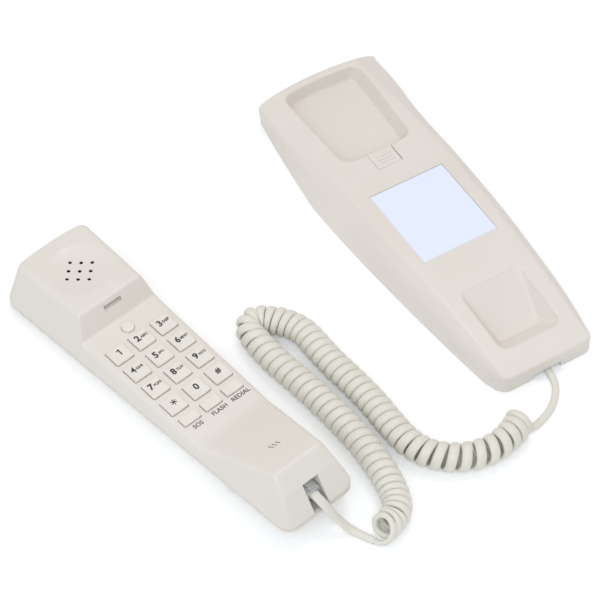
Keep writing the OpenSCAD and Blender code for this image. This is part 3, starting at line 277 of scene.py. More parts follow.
sides = 16
bpy.ops.mesh.primitive_grid_add(x_subdivisions=sides, y_subdivisions=len(everything) - 1, size=2)
cord = bpy.context.active_object
cord.name = cord.data.name = "cord"
for vertex in cord.data.vertices:
    j = round((vertex.co.x + 1) / 2 * sides)
    i = round((vertex.co.y + 1) / 2 * (len(everything) - 1))
    centre, u, v, w, thick = everything[i]
    c, s = math.cos(j / sides * 2 * math.pi), math.sin(j / sides * 2 * math.pi)
    blunt = 0.72 if thick == cord_t else 0.95  # the lead is squarer than the curls
    c, s = math.copysign(abs(c) ** blunt, c), math.copysign(abs(s) ** blunt, s)
    vertex.co = (centre + u * c * w / 2 + v * s * thick / 2) * 0.001
close_up(0.000002)
bpy.ops.object.shade_smooth()
cord.data.materials.append(vinyl)
path = [[x * 0.001 for x in ring[0]] for ring in everything]
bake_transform(cord)
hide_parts("curly_cord", "base_lead", "handset_lead")


# ---- Base housing: one moulding in cream ABS, a long shell with a bevel round
# its face, arched at the ear end, with two pockets that cradle the handset, a
# recess for the memo card and a slot for the hook. It is open at the back.
base_long, base_wide, face_up, wall = 220.0, 84.0, 18.3, 2.0  # millimetres
widest, narrow_end = 150.0, 95.0  # from the lower end: the widest place, and where the face starts to fall
fall_r = 582.4  # the radius of the face's fall to the lower end
ear_arch_r = 166.9


def mix(a, b, t):
    """The value at share t between a and b."""
    return a + (b - a) * t


def softened(d):
    """A distance that starts off slowly, over about 10 mm."""
    return math.sqrt(d * d + 100) - 10


def drifting(rows, y):
    """A value that drifts from row to row, averaged over 16 mm so that it never kinks."""
    found = 0.0
    for step in range(-8, 9, 2):
        at = min(max(y + step, rows[0][0]), rows[-1][0])
        for (a, p), (b, q) in zip(rows, rows[1:]):
            if at <= b:
                found += mix(p, q, (at - a) / (b - a))
                break
    return found / 9


def rounded(before, corner, after, cut, count):
    """A rounded corner: a curve that starts and ends this far from it."""
    p, q, r = Vector(before), Vector(corner), Vector(after)
    a = q + (p - q) * min(0.48, cut / max(1e-6, (p - q).length))
    b = q + (r - q) * min(0.48, cut / max(1e-6, (r - q).length))
    return [a * (1 - t) ** 2 + q * 2 * t * (1 - t) + b * t * t for t in [k / count for k in range(count + 1)]]


def back_half(y):
    """Half width of the base's back, y from its lower end."""
    if y < widest:
        return base_wide / 2 - 13.4 * ((widest - y) / widest) ** 1.6
    return base_wide / 2 - 8 * ((y - widest) / (base_long - widest)) ** 1.2


def crease_half(y):
    """Half width of the face inside its bevel."""
    broad = 135
    if y < broad:
        return 30.7 - 5.1 * softened(broad - y) / softened(broad)
    return 30.7 - 7 * softened(y - broad) / softened(base_long - broad)


def face_z(y):
    """Height of the face, which falls in an arc towards the lower end."""
    if y >= narrow_end:
        return face_up
    return face_up - fall_r + math.sqrt(fall_r ** 2 - (narrow_end - y) ** 2)


def base_section(y, inset):
    """Half of the base's section, from the back's edge up and in to the middle."""
    share = drifting([(0, 0.72), (30, 0.64), (95, 0.63), (150, 0.67), (200, 0.77), (230, 0.77)], y)
    bulge = drifting([(-10, 0.3), (0, 0.3), (10, 1.6), (30, 3.3), (95, 2.8), (130, 1.5), (150, 1.3),
                      (165, 2.6), (200, 8.7), (225, 10.6)], y)
    w0, w2, zf = back_half(y) - inset, crease_half(y) - inset * 0.45, face_z(y) - inset
    w1 = mix(back_half(y), crease_half(y), share) + bulge - inset
    z1 = share * face_z(y) - inset * 0.55
    turn = 0.9
    cut = 99.0  # the plan's round corners
    if y < 7.5:
        cut = 21.1 + math.sqrt(max(0, 7.5 ** 2 - (7.5 - y) ** 2)) - inset * 1.8
    if y > 217:
        cut = 34.0 + math.sqrt(max(0, 9 - (y - 217) ** 2)) - inset * 1.8
    end = min(y, base_long - y)
    if end < turn:  # the edge round the end wall
        zf -= turn - math.sqrt(max(0, turn ** 2 - (turn - end) ** 2))
    knee = (w1, z1)
    if w1 > cut:
        knee = (cut, min(max(z1, z1 + (zf - z1) * (w1 - cut) / max(0.1, w1 - w2)), zf - 1.6))
    foot, crease = (min(w0, cut), 0.0), (min(w2, cut), zf)
    knee_cut = 1.0 + (3.2 if y < 185 else 1.8) * min(1, max(0, (cut - w1) / 1.2))
    crease_cut = 0.9 + 0.6 * min(1, max(0, cut - w2))
    ring = [Vector(foot).lerp(Vector(knee), k / 3) for k in range(3)]
    ring += rounded(foot, knee, crease, knee_cut, 7)
    a = ring[-1]
    corner = rounded(knee, crease, (0, zf), crease_cut, 7)
    ring += [a.lerp(corner[0], k / 4) for k in range(1, 4)] + corner
    return ring + [corner[-1].lerp(Vector((0, zf)), k / 9) for k in range(1, 10)]


def wrap(name, rows, place, columns):
    """A grid whose vertices are moved to place(row, column), closed with one flat face."""
    bpy.ops.mesh.primitive_grid_add(x_subdivisions=columns, y_subdivisions=rows, size=2)
    body = bpy.context.active_object
    body.name = body.data.name = name
    for vertex in body.data.vertices:
        j, i = round((vertex.co.x + 1) / 2 * columns), round((vertex.co.y + 1) / 2 * rows)
        vertex.co = Vector(place(i, j)) * 0.001
    close_up(0.000004)
    bpy.ops.object.select_all(action="DESELECT")
    return body


def base_form(name, inset, floor):
    """The base as a closed form, smaller all round by inset."""
    edge = [0.0, 0.04, 0.15, 0.32, 0.58, 0.9]
    ys = edge + [1.6 + 2.7 * k for k in range(80)]
    ys = [y for y in ys if y < 216] + [216.6, 217.4, 218.2, 218.8] + [base_long - e for e in reversed(edge)]
    ys = [inset + y * (base_long - 2 * inset) / base_long for y in ys]
    sections = [base_section(y, inset) for y in ys]
    half = len(sections[0]) - 1
    rows = len(ys) + 1

    def place(i, j):
        k = min(max(i - 1, 0), len(ys) - 1)
        x, z = sections[k][half - abs(half - j)]
        x = -x if j < half else x
        if i in (0, rows) or j in (0, 2 * half):
            z = floor
        y = ys[k]
        bow = min(1, max(0, (y - 170) / 50)) ** 2
        y += bow * (math.sqrt(ear_arch_r ** 2 - x * x) - ear_arch_r - 3.2 * (z / face_up) ** 6)
        return (x, y - base_long / 2, z)

    return wrap(name, rows, place, 2 * half)


def carve(body, tool, operation="DIFFERENCE"):
    """Cuts the tool out of the body, or adds it, and takes the tool away."""
    cut = body.modifiers.new("cut", "BOOLEAN")
    cut.operation, cut.object, cut.solver = operation, tool, "MANIFOLD"
    bpy.context.view_layer.objects.active = body
    bpy.ops.object.modifier_apply(modifier=cut.name)
    bpy.data.objects.remove(tool)


def outline(corners):
    """A closed outline with round corners (x, y, radius), anticlockwise from the lower right."""
    points = []
    for n, (x, y, r) in enumerate(corners):
        for k in range(9):
            a = math.radians(-90 + n * 90 + k * 11.25)
            points.append((x + r * math.cos(a), y + r * math.sin(a)))
    return points


def stacked(name, levels):
    """A closed form through outlines of equal count, the top one first."""
    count = len(levels[0])
    bpy.ops.mesh.primitive_grid_add(x_subdivisions=count, y_subdivisions=len(levels) - 1, size=2)
    body = bpy.context.active_object
    body.name = body.data.name = name
    for vertex in body.data.vertices:
        j, i = round((vertex.co.x + 1) / 2 * count), round((vertex.co.y + 1) / 2 * (len(levels) - 1))
        vertex.co = Vector(levels[i][j % count]) * 0.001
    close_up(0.000004, flat=False)
    bpy.ops.object.select_all(action="DESELECT")
    return body


def ear_levels(grow):
    """Outlines of the ear pocket from above the face down to its floor."""
    levels = []
    rim, foot = 1.0, 1.0
    floor, lean_over = 9.8, 8.5
    bottom = floor - grow

    def level(z, out):
        share = min(1, max(0, (face_up - z) / lean_over))
        far_half, near_half, c = mix(23.3, 19.7, share), mix(21.0, 17.4, share), mix(5.0, 4.4, share)
        low, high = mix(153.0, 154.3, share), mix(213.0, 211.6, share)
        r = c + out + grow
        corners = [(near_half - c, low + c), (far_half - c, high - c), (c - far_half, high - c),
                   (c - near_half, low + c)]
        ring = []
        for n, (x, y) in enumerate(corners):
            for k in range(9):
                a = math.radians(-90 + n * 90 + k * 11.25)
                ring.append((x + r * math.cos(a), y + r * math.sin(a)))
            if n in (1, 3):  # the two end walls are bowed
                edge = y + (r if n == 1 else -r)
                ring += [(mix(x, corners[(n + 1) % 4][0], k / 10), edge) for k in range(1, 10)]
        ring = [(x, y - x * x / 330 if y > 183 else y + x * x / 180) for x, y in ring]
        levels.append([(x, y - base_long / 2, z) for x, y in ring])

    level(face_up + 3, rim + 0.05)
    for k in range(6):
        a = k / 5 * math.pi / 2
        level(face_up + 0.005 - rim * (1 - math.cos(a)), rim * (1 - math.sin(a)))
    level(mix(face_up - rim, bottom + foot, 0.5), 0)
    for k in range(7):
        a = k / 6 * math.pi / 2
        level(bottom + foot * (1 - math.sin(a)), -foot * (1 - math.cos(a)))
    return levels


def mouth_levels(grow):
    """Outlines of the mouth pocket: its rim lies on the curved face and its floor is one line."""
    rim, floor = 0.9, 6.0
    edge = outline([(12.3, 20.0, 5.2), (14.3, 49.6, 3.2), (-14.3, 49.6, 3.2), (-12.3, 20.0, 5.2)])
    deep = outline([(10.2, 26.2, 2.2), (10.2, 26.2, 2.2), (-10.2, 26.2, 2.2), (-10.2, 26.2, 2.2)])
    facing = [math.radians(-90 + (n // 9) * 90 + (n % 9) * 11.25) for n in range(36)]
    lip = [(-3, 0.95)]
    for k in range(6):
        a = k / 5 * math.pi / 2
        lip.append((rim * (1 - math.cos(a)), rim * (1 - math.sin(a))))
    levels = []
    for drop, out in lip:
        ring = []
        for (x, y), a in zip(edge, facing):
            px, py = x + (out + grow) * math.cos(a), y + (out + grow) * math.sin(a)
            sunk = drop * (0.45 if py > 45 else 1.0)
            ring.append((px, py - base_long / 2, face_z(max(0, py)) + 0.005 - sunk))
        levels.append(ring)
    for t in (0.12, 0.3, 0.5, 0.7, 0.84, 0.93, 0.98, 1.0):
        ring = []
        for (x, y, z), (p, q), a in zip(levels[6], deep, facing):
            px, py = p + grow * math.cos(a), q + grow * math.sin(a) - base_long / 2
            ring.append((mix(x, px, t), mix(y, py, t), mix(z, floor - grow, t)))
        levels.append(ring)
    return levels


def box_tool(low, high):
    """A box between two corners, in millimetres."""
    bpy.ops.mesh.primitive_cube_add(size=1)
    body = bpy.context.active_object
    for vertex in body.data.vertices:
        vertex.co = Vector([(b if c > 0 else a) * 0.001 for c, a, b in zip(vertex.co, low, high)])
    bpy.ops.object.select_all(action="DESELECT")
    return body


def finish_shell(body, material, riding, edge=0.00018, nodes=()):
    """Rounds the cut edges a little, sets smooth shading and puts the piece on its body."""
    bpy.ops.object.select_all(action="DESELECT")
    bpy.context.view_layer.objects.active = body
    body.select_set(True)
    bpy.ops.object.mode_set(mode="EDIT")
    bpy.ops.mesh.select_all(action="SELECT")
    bpy.ops.mesh.remove_doubles(threshold=0.00002)
    bpy.ops.object.mode_set(mode="OBJECT")
    if edge:
        bevel = body.modifiers.new("edges", "BEVEL")
        bevel.width, bevel.segments, bevel.limit_method = edge, 2, "ANGLE"
        bevel.angle_limit, bevel.use_clamp_overlap = math.radians(42), True
        bpy.ops.object.modifier_apply(modifier=bevel.name)
    bpy.ops.object.shade_smooth_by_angle(angle=math.radians(38))
    even = body.modifiers.new("even", "WEIGHTED_NORMAL")
    even.keep_sharp = True
    even.weight = 80
    bpy.ops.object.modifier_apply(modifier=even.name)
    body.data.materials.clear()
    body.data.materials.append(material)
    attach(body, riding)
    if nodes:
        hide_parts(*nodes)
    body.select_set(False)
    return body


cream = plastic("cream_abs", (0.800, 0.742, 0.684), (0.782, 0.722, 0.660), 0.36, 2600.0, 0.00002, coat=0.15)

base = base_form("base_shell", 0.0, 0.0)
hollow = base_form("base_hollow", wall, -1.0)
carve(hollow, stacked("ear_wall", ear_levels(wall)))
carve(hollow, stacked("mouth_wall", mouth_levels(wall)))
# walls are left round the card's recess and the hook's slot
carve(hollow, box_tool((-24, -33.6, 15.3), (24, 20.4, 19)))
carve(hollow, box_tool((-12, 29.6, 14.0), (12, 48, 19)))
carve(base, stacked("ear_pocket", ear_levels(0.0)))
carve(base, stacked("mouth_pocket", mouth_levels(0.0)))
carve(base, hollow)
card_recess, hook_slot = ((-22.15, -32.1, 17.5), (22.15, 18.8, 22)), ((-7.8, 31.7, 16.15), (6.95, 50.3, 22))
hook_channel, lip_slot = ((-8.8, 31.7, 16.15), (7.95, 50.3, 17.55)), ((-7.8, 42.1, 12.7), (6.95, 50.3, 16.4))
cord_notch = ((-7.8, -112, -1), (7.8, -107.5, 3.6))
for low, high in (card_recess, hook_slot, hook_channel, lip_slot, cord_notch):
    carve(base, box_tool(low, high))
finish_shell(base, cream, "base", nodes=["base_housing"])


# ---- Handset shells: two cream mouldings screwed together from behind. The
# front one stands up into the ear and mouth ends and holds the keys, the back
# one is a shallow tray that curves up to the seam at both ends.
hand = Matrix.Translation((-0.1622, -0.0212, 0)) @ Matrix.Rotation(math.radians(10.6), 4, "Z")
side_lean = math.radians(17)  # how far the handset's sides lean in
lean = math.tan(side_lean)
mouth_y, ear_y = -109.5, 98.0  # the handset's ends, in millimetres from the keypad's middle
arch_r = 150  # the ear end's arch at the seam
arch_y = -52  # its centre
side_share, corner_share = 0.16, 0.62  # of the ear end's outline: up to here its side, up to there its corner


def seam_half(y):
    """Half width at the seam."""
    return mix(21.3, 28.4, (y - mouth_y) / (ear_y - mouth_y))


def seam_z(y):
    """Height of the seam, which climbs from the ear to the mouth."""
    return mix(14.0, 6.3, (y - mouth_y) / (ear_y - mouth_y))


def ear_corner(h):
    """The ear end's round corner h above the seam: its centre, its radius and the far arch's radius."""
    r, far = 10.5 - 0.3 * h, arch_r - 0.27 * h
    x = seam_half(86.4) - h * lean - r
    return Vector((x, math.sqrt((far - r) ** 2 - x * x) + arch_y)), r, far


def ear_outline(h, s, inset):
    """Outline of the ear end h above the seam: s runs from the side round the corner to the middle."""
    d = inset / math.cos(side_lean)
    middle, r, far = ear_corner(h)
    tip = math.asin(middle.x / (far - r))
    if s < side_share:
        start = Vector((seam_half(80) - h * lean - d, 80))
        return start.lerp(middle + Vector((r - d, 0)), s / side_share)
    if s < corner_share:
        a = (s - side_share) / (corner_share - side_share) * (math.pi / 2 - tip)
        return middle + (r - d) * Vector((math.cos(a), math.sin(a)))
    a = tip * (1 - (s - corner_share) / (1 - corner_share))
    return Vector(((far - d) * math.sin(a), (far - d) * math.cos(a) + arch_y))


def bowed(x, y):
    """The tray's ear end is an arch seen from the front."""
    return y + min(1, max(0, (y - 60) / 26)) ** 2 * (math.sqrt(arch_r ** 2 - x * x) - arch_r)


def hand_cut(y):
    """Half width of the handset's plan where its corners are round, else a large number."""
    mouth_corner = mouth_y + 6
    if y < mouth_corner:
        return 15.3 + math.sqrt(max(0, 36 - (mouth_corner - y) ** 2))
    low, high = side_share, corner_share
    for k in range(20):
        at = (low + high) / 2
        p = ear_outline(0, at, 0)
        if p.y + arch_r - math.sqrt(arch_r ** 2 - p.x ** 2) < y:
            low = at
        else:
            high = at
    return p.x if at > side_share + 0.0001 else 99.0


def front_line(inset):
    """Side view of the front shell, from the mouth end's foot to the ear end's corners: y and z."""
    knees = [(-109.5, 14.0, 0), (-109.3, 15.4, 0.6), (-101, 28.7, 5), (-93, 37.0, 2.4), (-47, 18.4, 16),
             (37.8, 18.4, 1.7), (43.5, 31.7, 1.5), (80, 30.034, 0)]  # y, z and the radius there
    p = [Vector(k[:2]) for k in knees]
    if inset:
        moved = []
        for i, q in enumerate(p):
            pairs = zip(p[max(0, i - 1):i + 1], p[max(1, i):i + 2])
            t = [(b - a).normalized() for a, b in pairs if (b - a).length > 0]
            n = [Vector((d.y, -d.x)) for d in (t[0], t[-1])]
            moved.append(q + (n[0] + n[1]) * inset / (1 + n[0].dot(n[1])))
        p = moved
    line = [p[0]]
    for i in range(1, len(p) - 1):
        u, v = (p[i - 1] - p[i]).normalized(), (p[i + 1] - p[i]).normalized()
        half = u.angle(v) / 2
        r = knees[i][2]
        count = 3 if r < 1 else 7
        shorter = min((p[i + 1] - p[i]).length, (p[i - 1] - p[i]).length)
        reach = min(r / math.tan(half), 0.45 * shorter)
        line += rounded(p[i - 1], p[i], p[i + 1], reach * 1.25, count)
    line.append(p[-1])
    full = []
    for a, b in zip(line, line[1:]):
        steps = max(1, math.ceil((b - a).length / (1.9 if a.x < 43 else 0.8)))
        full += [a.lerp(b, k / steps) for k in range(steps)]
    return full + [line[-1]]


def dish(x, y):
    """Depth of the shallow dish over the receiver, whose rim is blended into the face."""
    deep = 1.7
    r = math.hypot(x, y - 67) / 16.4
    if r < 0.96:
        return deep * (1 - r * r)
    return deep * 0.0784 * max(0, (1.04 - r) / 0.08) ** 2


def front_section(y, z, inset):
    """Half of the front shell's section at y, up its leaning side and in along its face."""
    zp, w = seam_z(y), seam_half(y) - inset / math.cos(side_lean)
    h = max(0.0, z - zp)
    cut = hand_cut(y) - inset
    bend = (w - cut) / lean if w > cut else 0.1
    foot = (min(w, cut), zp)
    knee = (min(w, cut), zp + min(h * 0.5, max(0.1, bend)))
    top = (min(w - h * lean, cut), zp + h)
    ring = [Vector(foot)] + rounded(foot, knee, top, 0.8, 4)
    edge = 2.3 if y > 46 or y < 36 else 1.5  # sharper at the foot of the step
    corner = rounded(knee, top, (0, top[1]), min(edge, 0.1 + h * 0.45), 6)
    a = ring[-1]
    ring += [a.lerp(corner[0], k / 6) for k in range(1, 6)] + corner
    return ring + [corner[-1].lerp(Vector((0, top[1])), k / 24) for k in range(1, 25)]


def ear_face(y):
    """Height of the ear end's face, which falls a little towards its far end."""
    return 31.7 - (y - 43.5) * 0.04565


def ear_section(s, inset, shares):
    """A row of the ear end: up its wall at s, over the edge and in to the middle line."""
    h = 23.0
    for k in range(6):  # the wall's height and the place of its top settle each other
        top = ear_outline(h, s, inset)
        z = ear_face(top.y) - inset
        h = z - seam_z(top.y)
    wall = []
    for share in shares:
        p = ear_outline(h * share, s, inset)
        wall.append(Vector((p.x, p.y, seam_z(p.y) + h * share)))
    middle = Vector((0, mix(80, ear_corner(h)[2] - 55.4 - inset, s), 0))
    middle.z = ear_face(middle.y) - inset
    corner = rounded(wall[0], (top.x, top.y, z), middle, 2.3, 6)
    return wall + corner + [corner[-1].lerp(middle, k / 24) for k in range(1, 25)]


def front_form(name, inset, floor):
    """The front shell's outside as a closed form, smaller all round by inset."""
    sections = []
    for p in front_line(inset):
        sections.append([Vector((x, p.x, z)) for x, z in front_section(p.x, p.y, inset)])
    last = sections[-1]
    half = len(last) - 1
    shares = [(p.z - last[0].z) / (last[half].z - last[0].z) for p in last[:11]]
    steps = [0.04, 0.08, 0.12] + [mix(side_share, corner_share, k / 16) for k in range(17)]
    steps += [mix(corner_share, 1.0, k / 14) for k in range(1, 15)]
    sections += [ear_section(s, inset, shares) for s in steps]

    def place(i, j):
        x, y, z = sections[i][half - abs(half - j)]
        if j in (0, 2 * half) or i == 0:
            z = seam_z(y) + floor
        elif not inset:
            z -= dish(x, y)
        return (-x if j < half else x, y, z)

    return wrap(name, len(sections) - 1, place, 2 * half)


def belly(y):
    """Height of the tray's underside, which curves up at both ends."""
    if y < -42:
        return 12.1 * ((-42 - y) / 67.5) ** 2
    return 4.4 * ((y - 66) / 32) ** 2 if y > 66 else 0.0


def tray_section(y, inset):
    """Half of the back shell's section, from the seam down and in along its belly."""
    w, zp = seam_half(y) - inset, seam_z(y)
    zr = zp - 1.9
    zb = min(belly(y) + inset, zr - 0.4)
    cut = hand_cut(y) - inset
    ring = [Vector((w, zp)), Vector((w - 0.04, zp - 0.95)), Vector((w - 0.1, zr + 0.15))]
    for k in range(1, 12):
        a = math.radians(90 - k * 90 / 11)
        ring.append(Vector((w - 11.5 + 11.4 * math.sin(a), zb + (zr - zb) * (1 - math.cos(a) ** 2.1))))
    for p in ring:
        p.x = min(p.x, cut)
    return ring + [ring[-1].lerp(Vector((0, zb)), k / 4) for k in range(1, 5)]


def tray_form(name, inset, ceiling):
    """The back shell's outside as a closed form, smaller all round by inset."""
    edge = [0.0, 0.5, 1.2, 2.2, 3.4, 4.8, 6.2]
    ys = [mouth_y + inset + e for e in edge] + [mouth_y + 8 + 2.9 * k for k in range(64)]
    ys = [y for y in ys if y < 88.6]
    ys += [89.1, 89.6, 90.4, 91.4, 92.5, 93.6, 94.6, 95.5, 96.3, 97, 97.6, ear_y - inset]
    sections = [tray_section(y, inset) for y in ys]
    half = len(sections[0]) - 1

    def place(i, j):
        k = min(max(i - 1, 0), len(ys) - 1)
        x, z = sections[k][half - abs(half - j)]
        x = x if j < half else -x
        y = bowed(x, ys[k])
        if j in (0, 2 * half) or i in (0, len(ys) + 1):
            z = seam_z(y) + ceiling
        return (x, y, z)

    return wrap(name, len(ys) + 1, place, 2 * half)


def peg(x, y, low, high, r, count=32):
    """A round tool along Z."""
    bpy.ops.mesh.primitive_cylinder_add(vertices=count, radius=r * 0.001, depth=(high - low) * 0.001,
                                        location=(x * 0.001, y * 0.001, (low + high) / 2000))
    body = bpy.context.active_object
    bpy.ops.object.transform_apply(location=True, rotation=True, scale=True)
    bpy.ops.object.select_all(action="DESELECT")
    return body


def key_tool(x, y, w, l, r):
    """A tool with round corners for a key's opening."""
    ring = outline([(x + w / 2 - r, y - l / 2 + r, r), (x + w / 2 - r, y + l / 2 - r, r),
                    (x - w / 2 + r, y + l / 2 - r, r), (x - w / 2 + r, y - l / 2 + r, r)])
    return stacked("opening", [[(px, py, z) for px, py in ring] for z in (22, 12)])


front = front_form("handset_front", 0.0, 0.0)
hollow = front_form("front_hollow", wall, -3.0)
carve(hollow, box_tool((-5.85, -112, 8), (5.85, -96.5, 29.8)))
carve(front, hollow)
function_y, button_y = -31.3, 30.8  # the small keys' row, and the round button
for c in (-1, 0, 1):
    for r in range(4):
        carve(front, key_tool(c * 14, (1.5 - r) * 13.5, 10.7, 10.5, 0.9))
    carve(front, key_tool(c * 13.3 - 0.25, function_y, 10.7, 6.0, 0.9))
carve(front, peg(0, button_y, 12, 24, 3.42, 48))
for i in (-1, 0, 1):  # nine holes over the receiver, and three slanted slits over the microphone
    for j in (-1, 0, 1):
        carve(front, peg((i + j) * 4, 67 + (i - j) * 3.75, 22, 36, 0.95, 24))
    slit = box_tool((i * 2.1 - 0.4, -77.4, 24), (i * 2.1 + 0.4, -74.6, 36))
    slant = Matrix.Rotation(math.radians(25), 4, "Z") @ Matrix.Translation((-i * 0.0021, 0.076, 0))
    slit.data.transform(Matrix.Translation((0.0004 + i * 0.0021, -0.076, 0)) @ slant)
    carve(front, slit)
# the slot in the step with its housing, and the plug's notch in the mouth end
carve(front, box_tool((-6.6, 42.6, 24.2), (6.6, 48.4, 29.9)), "UNION")
carve(front, box_tool((-5.35, 36.8, 25.7), (5.35, 47.2, 28.5)))
carve(front, box_tool((-4.65, -114, 5), (4.65, -97.6, 28.6)))
front.data.transform(hand)
finish_shell(front, cream, "handset", nodes=["handset_face"])

tray = tray_form("handset_tray", 0.0, -0.05)
hollow = tray_form("tray_hollow", wall, 3.0)
carve(tray, hollow)
groove_high, groove_deep = 0.42, 0.5  # the seam shows as a fine groove
groove = box_tool((-40, -116, 0), (40, 106, 1))
for v in groove.data.vertices:
    v.co.z = (seam_z(v.co.y * 1000) + (0.6 if v.co.z > 0 else -groove_high)) * 0.001
carve(groove, tray_form("seam_core", groove_deep, 3.0))
carve(tray, groove)
for x, y in ((-16.5, -66), (16.5, -66), (-18.5, 52), (18.5, 52)):  # the screws' posts and their holes
    post = peg(x, y, 0.6 if y > 0 else 2.2, 10.15, 3.3)
    carve(post, tray_form("post_cut", 0.4, 3.0), "INTERSECT")
    carve(tray, post, "UNION")
    carve(tray, peg(x, y, -1, belly(y) + 2.6, 2.6))
    carve(tray, peg(x, y, belly(y) + 2.0, 30, 1.5, 24))
tray.data.transform(hand)
finish_shell(tray, cream, "handset", nodes=["handset_back"])


# ---- Keys: fifteen hollow caps in a lighter cream, each with a flange that stops
# it under the front shell. They stand 1.3 mm out of their openings, hollowed
# a little for the fingertip, and rest on the rubber mat.
key_cream = plastic("key_abs", (0.828, 0.778, 0.708), (0.812, 0.758, 0.685), 0.30, 2600.0, 0.00001, coat=0.2)


cap_top, cap_edge = 19.7, 0.28  # the caps' height and the rounding of their edges


def key_top(x):
    """Height of a cap's top, hollowed across."""
    return min(cap_top, 19.4 + x * x / 60)


def key_ring(x, y, w, l, r, out, z, share=1.0):
    """A key's outline moved outwards, or a smaller copy of it inside the top face."""
    corners = outline([(w / 2 - r, r - l / 2, r + out), (w / 2 - r, l / 2 - r, r + out),
                       (r - w / 2, l / 2 - r, r + out), (r - w / 2, r - l / 2, r + out)])
    ring = []
    for i, corner in enumerate(corners):
        ring.append(corner)
        if i % 9 == 8:
            ring += [Vector(corner).lerp(Vector(corners[(i + 1) % 36]), k / 8) for k in range(1, 8)]
    return [(x + px * share, y + py * share, z + key_top(px * share) - cap_top) for px, py in ring]


keypad = {"1": (-14, 20.25), "2": (0, 20.25), "3": (14, 20.25),
          "4": (-14, 6.75), "5": (0, 6.75), "6": (14, 6.75),
          "7": (-14, -6.75), "8": (0, -6.75), "9": (14, -6.75),
          "star": (-14, -20.25), "0": (0, -20.25), "hash": (14, -20.25),
          "sos": (-13.55, function_y), "flash": (-0.25, function_y), "redial": (13.05, function_y)}
# outwards, height and share of a cap's skirt, its flange and the hollow inside
underneath = ((0.0, 17.2, 1), (0.0, 16.1, 1), (0.3, 15.95, 1), (0.3, 15.3, 1), (-1.0, 15.3, 1),
              (-1.0, 18.0, 1), (-1.3, 18.3, 1), (-1.3, 18.3, 0.4))
for name, (x, y) in keypad.items():
    w, l = 10.0, 5.3 if y < -25 else 9.8
    levels = [key_ring(x, y, w, l, 0.6, -cap_edge, cap_top, share)
              for share in (0.1, 0.3, 0.5, 0.7, 0.85, 1.0)]
    for k in range(1, 6):
        a = k / 5 * math.pi / 2
        out, down = cap_edge * math.sin(a) - cap_edge, cap_edge * (1 - math.cos(a))
        levels.append(key_ring(x, y, w, l, 0.6, out, cap_top - down))
    for out, z, share in underneath:
        ring = key_ring(x, y, w, l, 1.4 if out < 0 else 0.6, out, z, share)
        levels.append([(px, py, z) for px, py, pz in ring])
    cap = stacked("key_cap_" + name, levels)
    cap.data.transform(hand)
    finish_shell(cap, key_cream, "key_" + name, edge=0, nodes=["key_" + name])

# the round button's radius and height, from its top over the edge and the flange down to its stem
profile = ((0.4, 19.7), (1.6, 19.69), (2.5, 19.66), (2.85, 19.61), (3.08, 19.5), (3.2, 19.3), (3.25, 19.05),
           (3.25, 16.1), (3.85, 15.9), (3.85, 15.3), (1.4, 15.3), (1.4, 14.55), (0.2, 14.55))
circle = [k / 48 * 2 * math.pi for k in range(48)]
levels = [[(r * math.cos(a), button_y + r * math.sin(a), z) for a in circle] for r, z in profile]
disc = stacked("hook_disc", levels)
disc.data.transform(hand)
finish_shell(disc, key_cream, "button", edge=0, nodes=["hook_button"])


# ---- Legends: plain digits, letters and signs printed in dark ink on the caps,
# and the three function words printed on the front shell below their keys.
ink, f = new_material("legend_ink")
speck = f.noise(1800.0, 2.0)
surface(f, Base_Color=speck.blend((0.020, 0.020, 0.022, 1), (0.050, 0.048, 0.050, 1)),
        Roughness=speck * 0.2 + 0.42)


def printed(text, x, y, height, width, weight):
    """Flat lettering, its middle at x and its lower edge at y. A width of 0 is the font's own."""
    bpy.ops.object.text_add()
    words = bpy.context.active_object
    words.data.body, words.data.align_x, words.data.size = text, "CENTER", 1.0
    words.data.offset, words.data.resolution_u = weight, 4
    bpy.ops.object.convert(target="MESH")
    words = bpy.context.active_object
    xs, ys = [v.co.x for v in words.data.vertices], [v.co.y for v in words.data.vertices]
    tall, wide = max(ys) - min(ys), max(xs) - min(xs)
    stretch = width / wide if width else height / tall
    middle, low = (min(xs) + max(xs)) / 2, min(ys)
    for v in words.data.vertices:
        across, up = (v.co.x - middle) * stretch, (v.co.y - low) / tall * height
        v.co = Vector((x + across, y + up, 0)) * 0.001
    bpy.ops.object.select_all(action="DESELECT")
    return words


def stroke(ax, ay, bx, by, w):
    """A flat printed bar from a to b."""
    bpy.ops.mesh.primitive_plane_add(size=1)
    bar = bpy.context.active_object
    a, b = Vector((ax, ay, 0)), Vector((bx, by, 0))
    side = Vector((ay - by, bx - ax, 0)).normalized() * w / 2
    for v in bar.data.vertices:
        v.co = ((b if v.co.x > 0 else a) + (side if v.co.y > 0 else -side)) * 0.001
    bpy.ops.object.select_all(action="DESELECT")
    return bar


def legend(name, parts, riding, height):
    """Joins printed words, lays them on the surface and puts them on its body."""
    bpy.context.view_layer.objects.active = parts[0]
    for part in parts:
        part.select_set(True)
    if len(parts) > 1:
        bpy.ops.object.join()
    words = bpy.context.active_object
    words.name = words.data.name = name
    bpy.ops.object.mode_set(mode="EDIT")
    bpy.ops.mesh.select_all(action="SELECT")
    bpy.ops.mesh.quads_convert_to_tris()
    bpy.ops.object.mode_set(mode="OBJECT")
    for v in words.data.vertices:
        v.co.z = height(v.co.x * 1000) * 0.001
    words.data.transform(hand)
    words.data.materials.append(ink)
    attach(words, riding)
    bpy.ops.object.select_all(action="DESELECT")


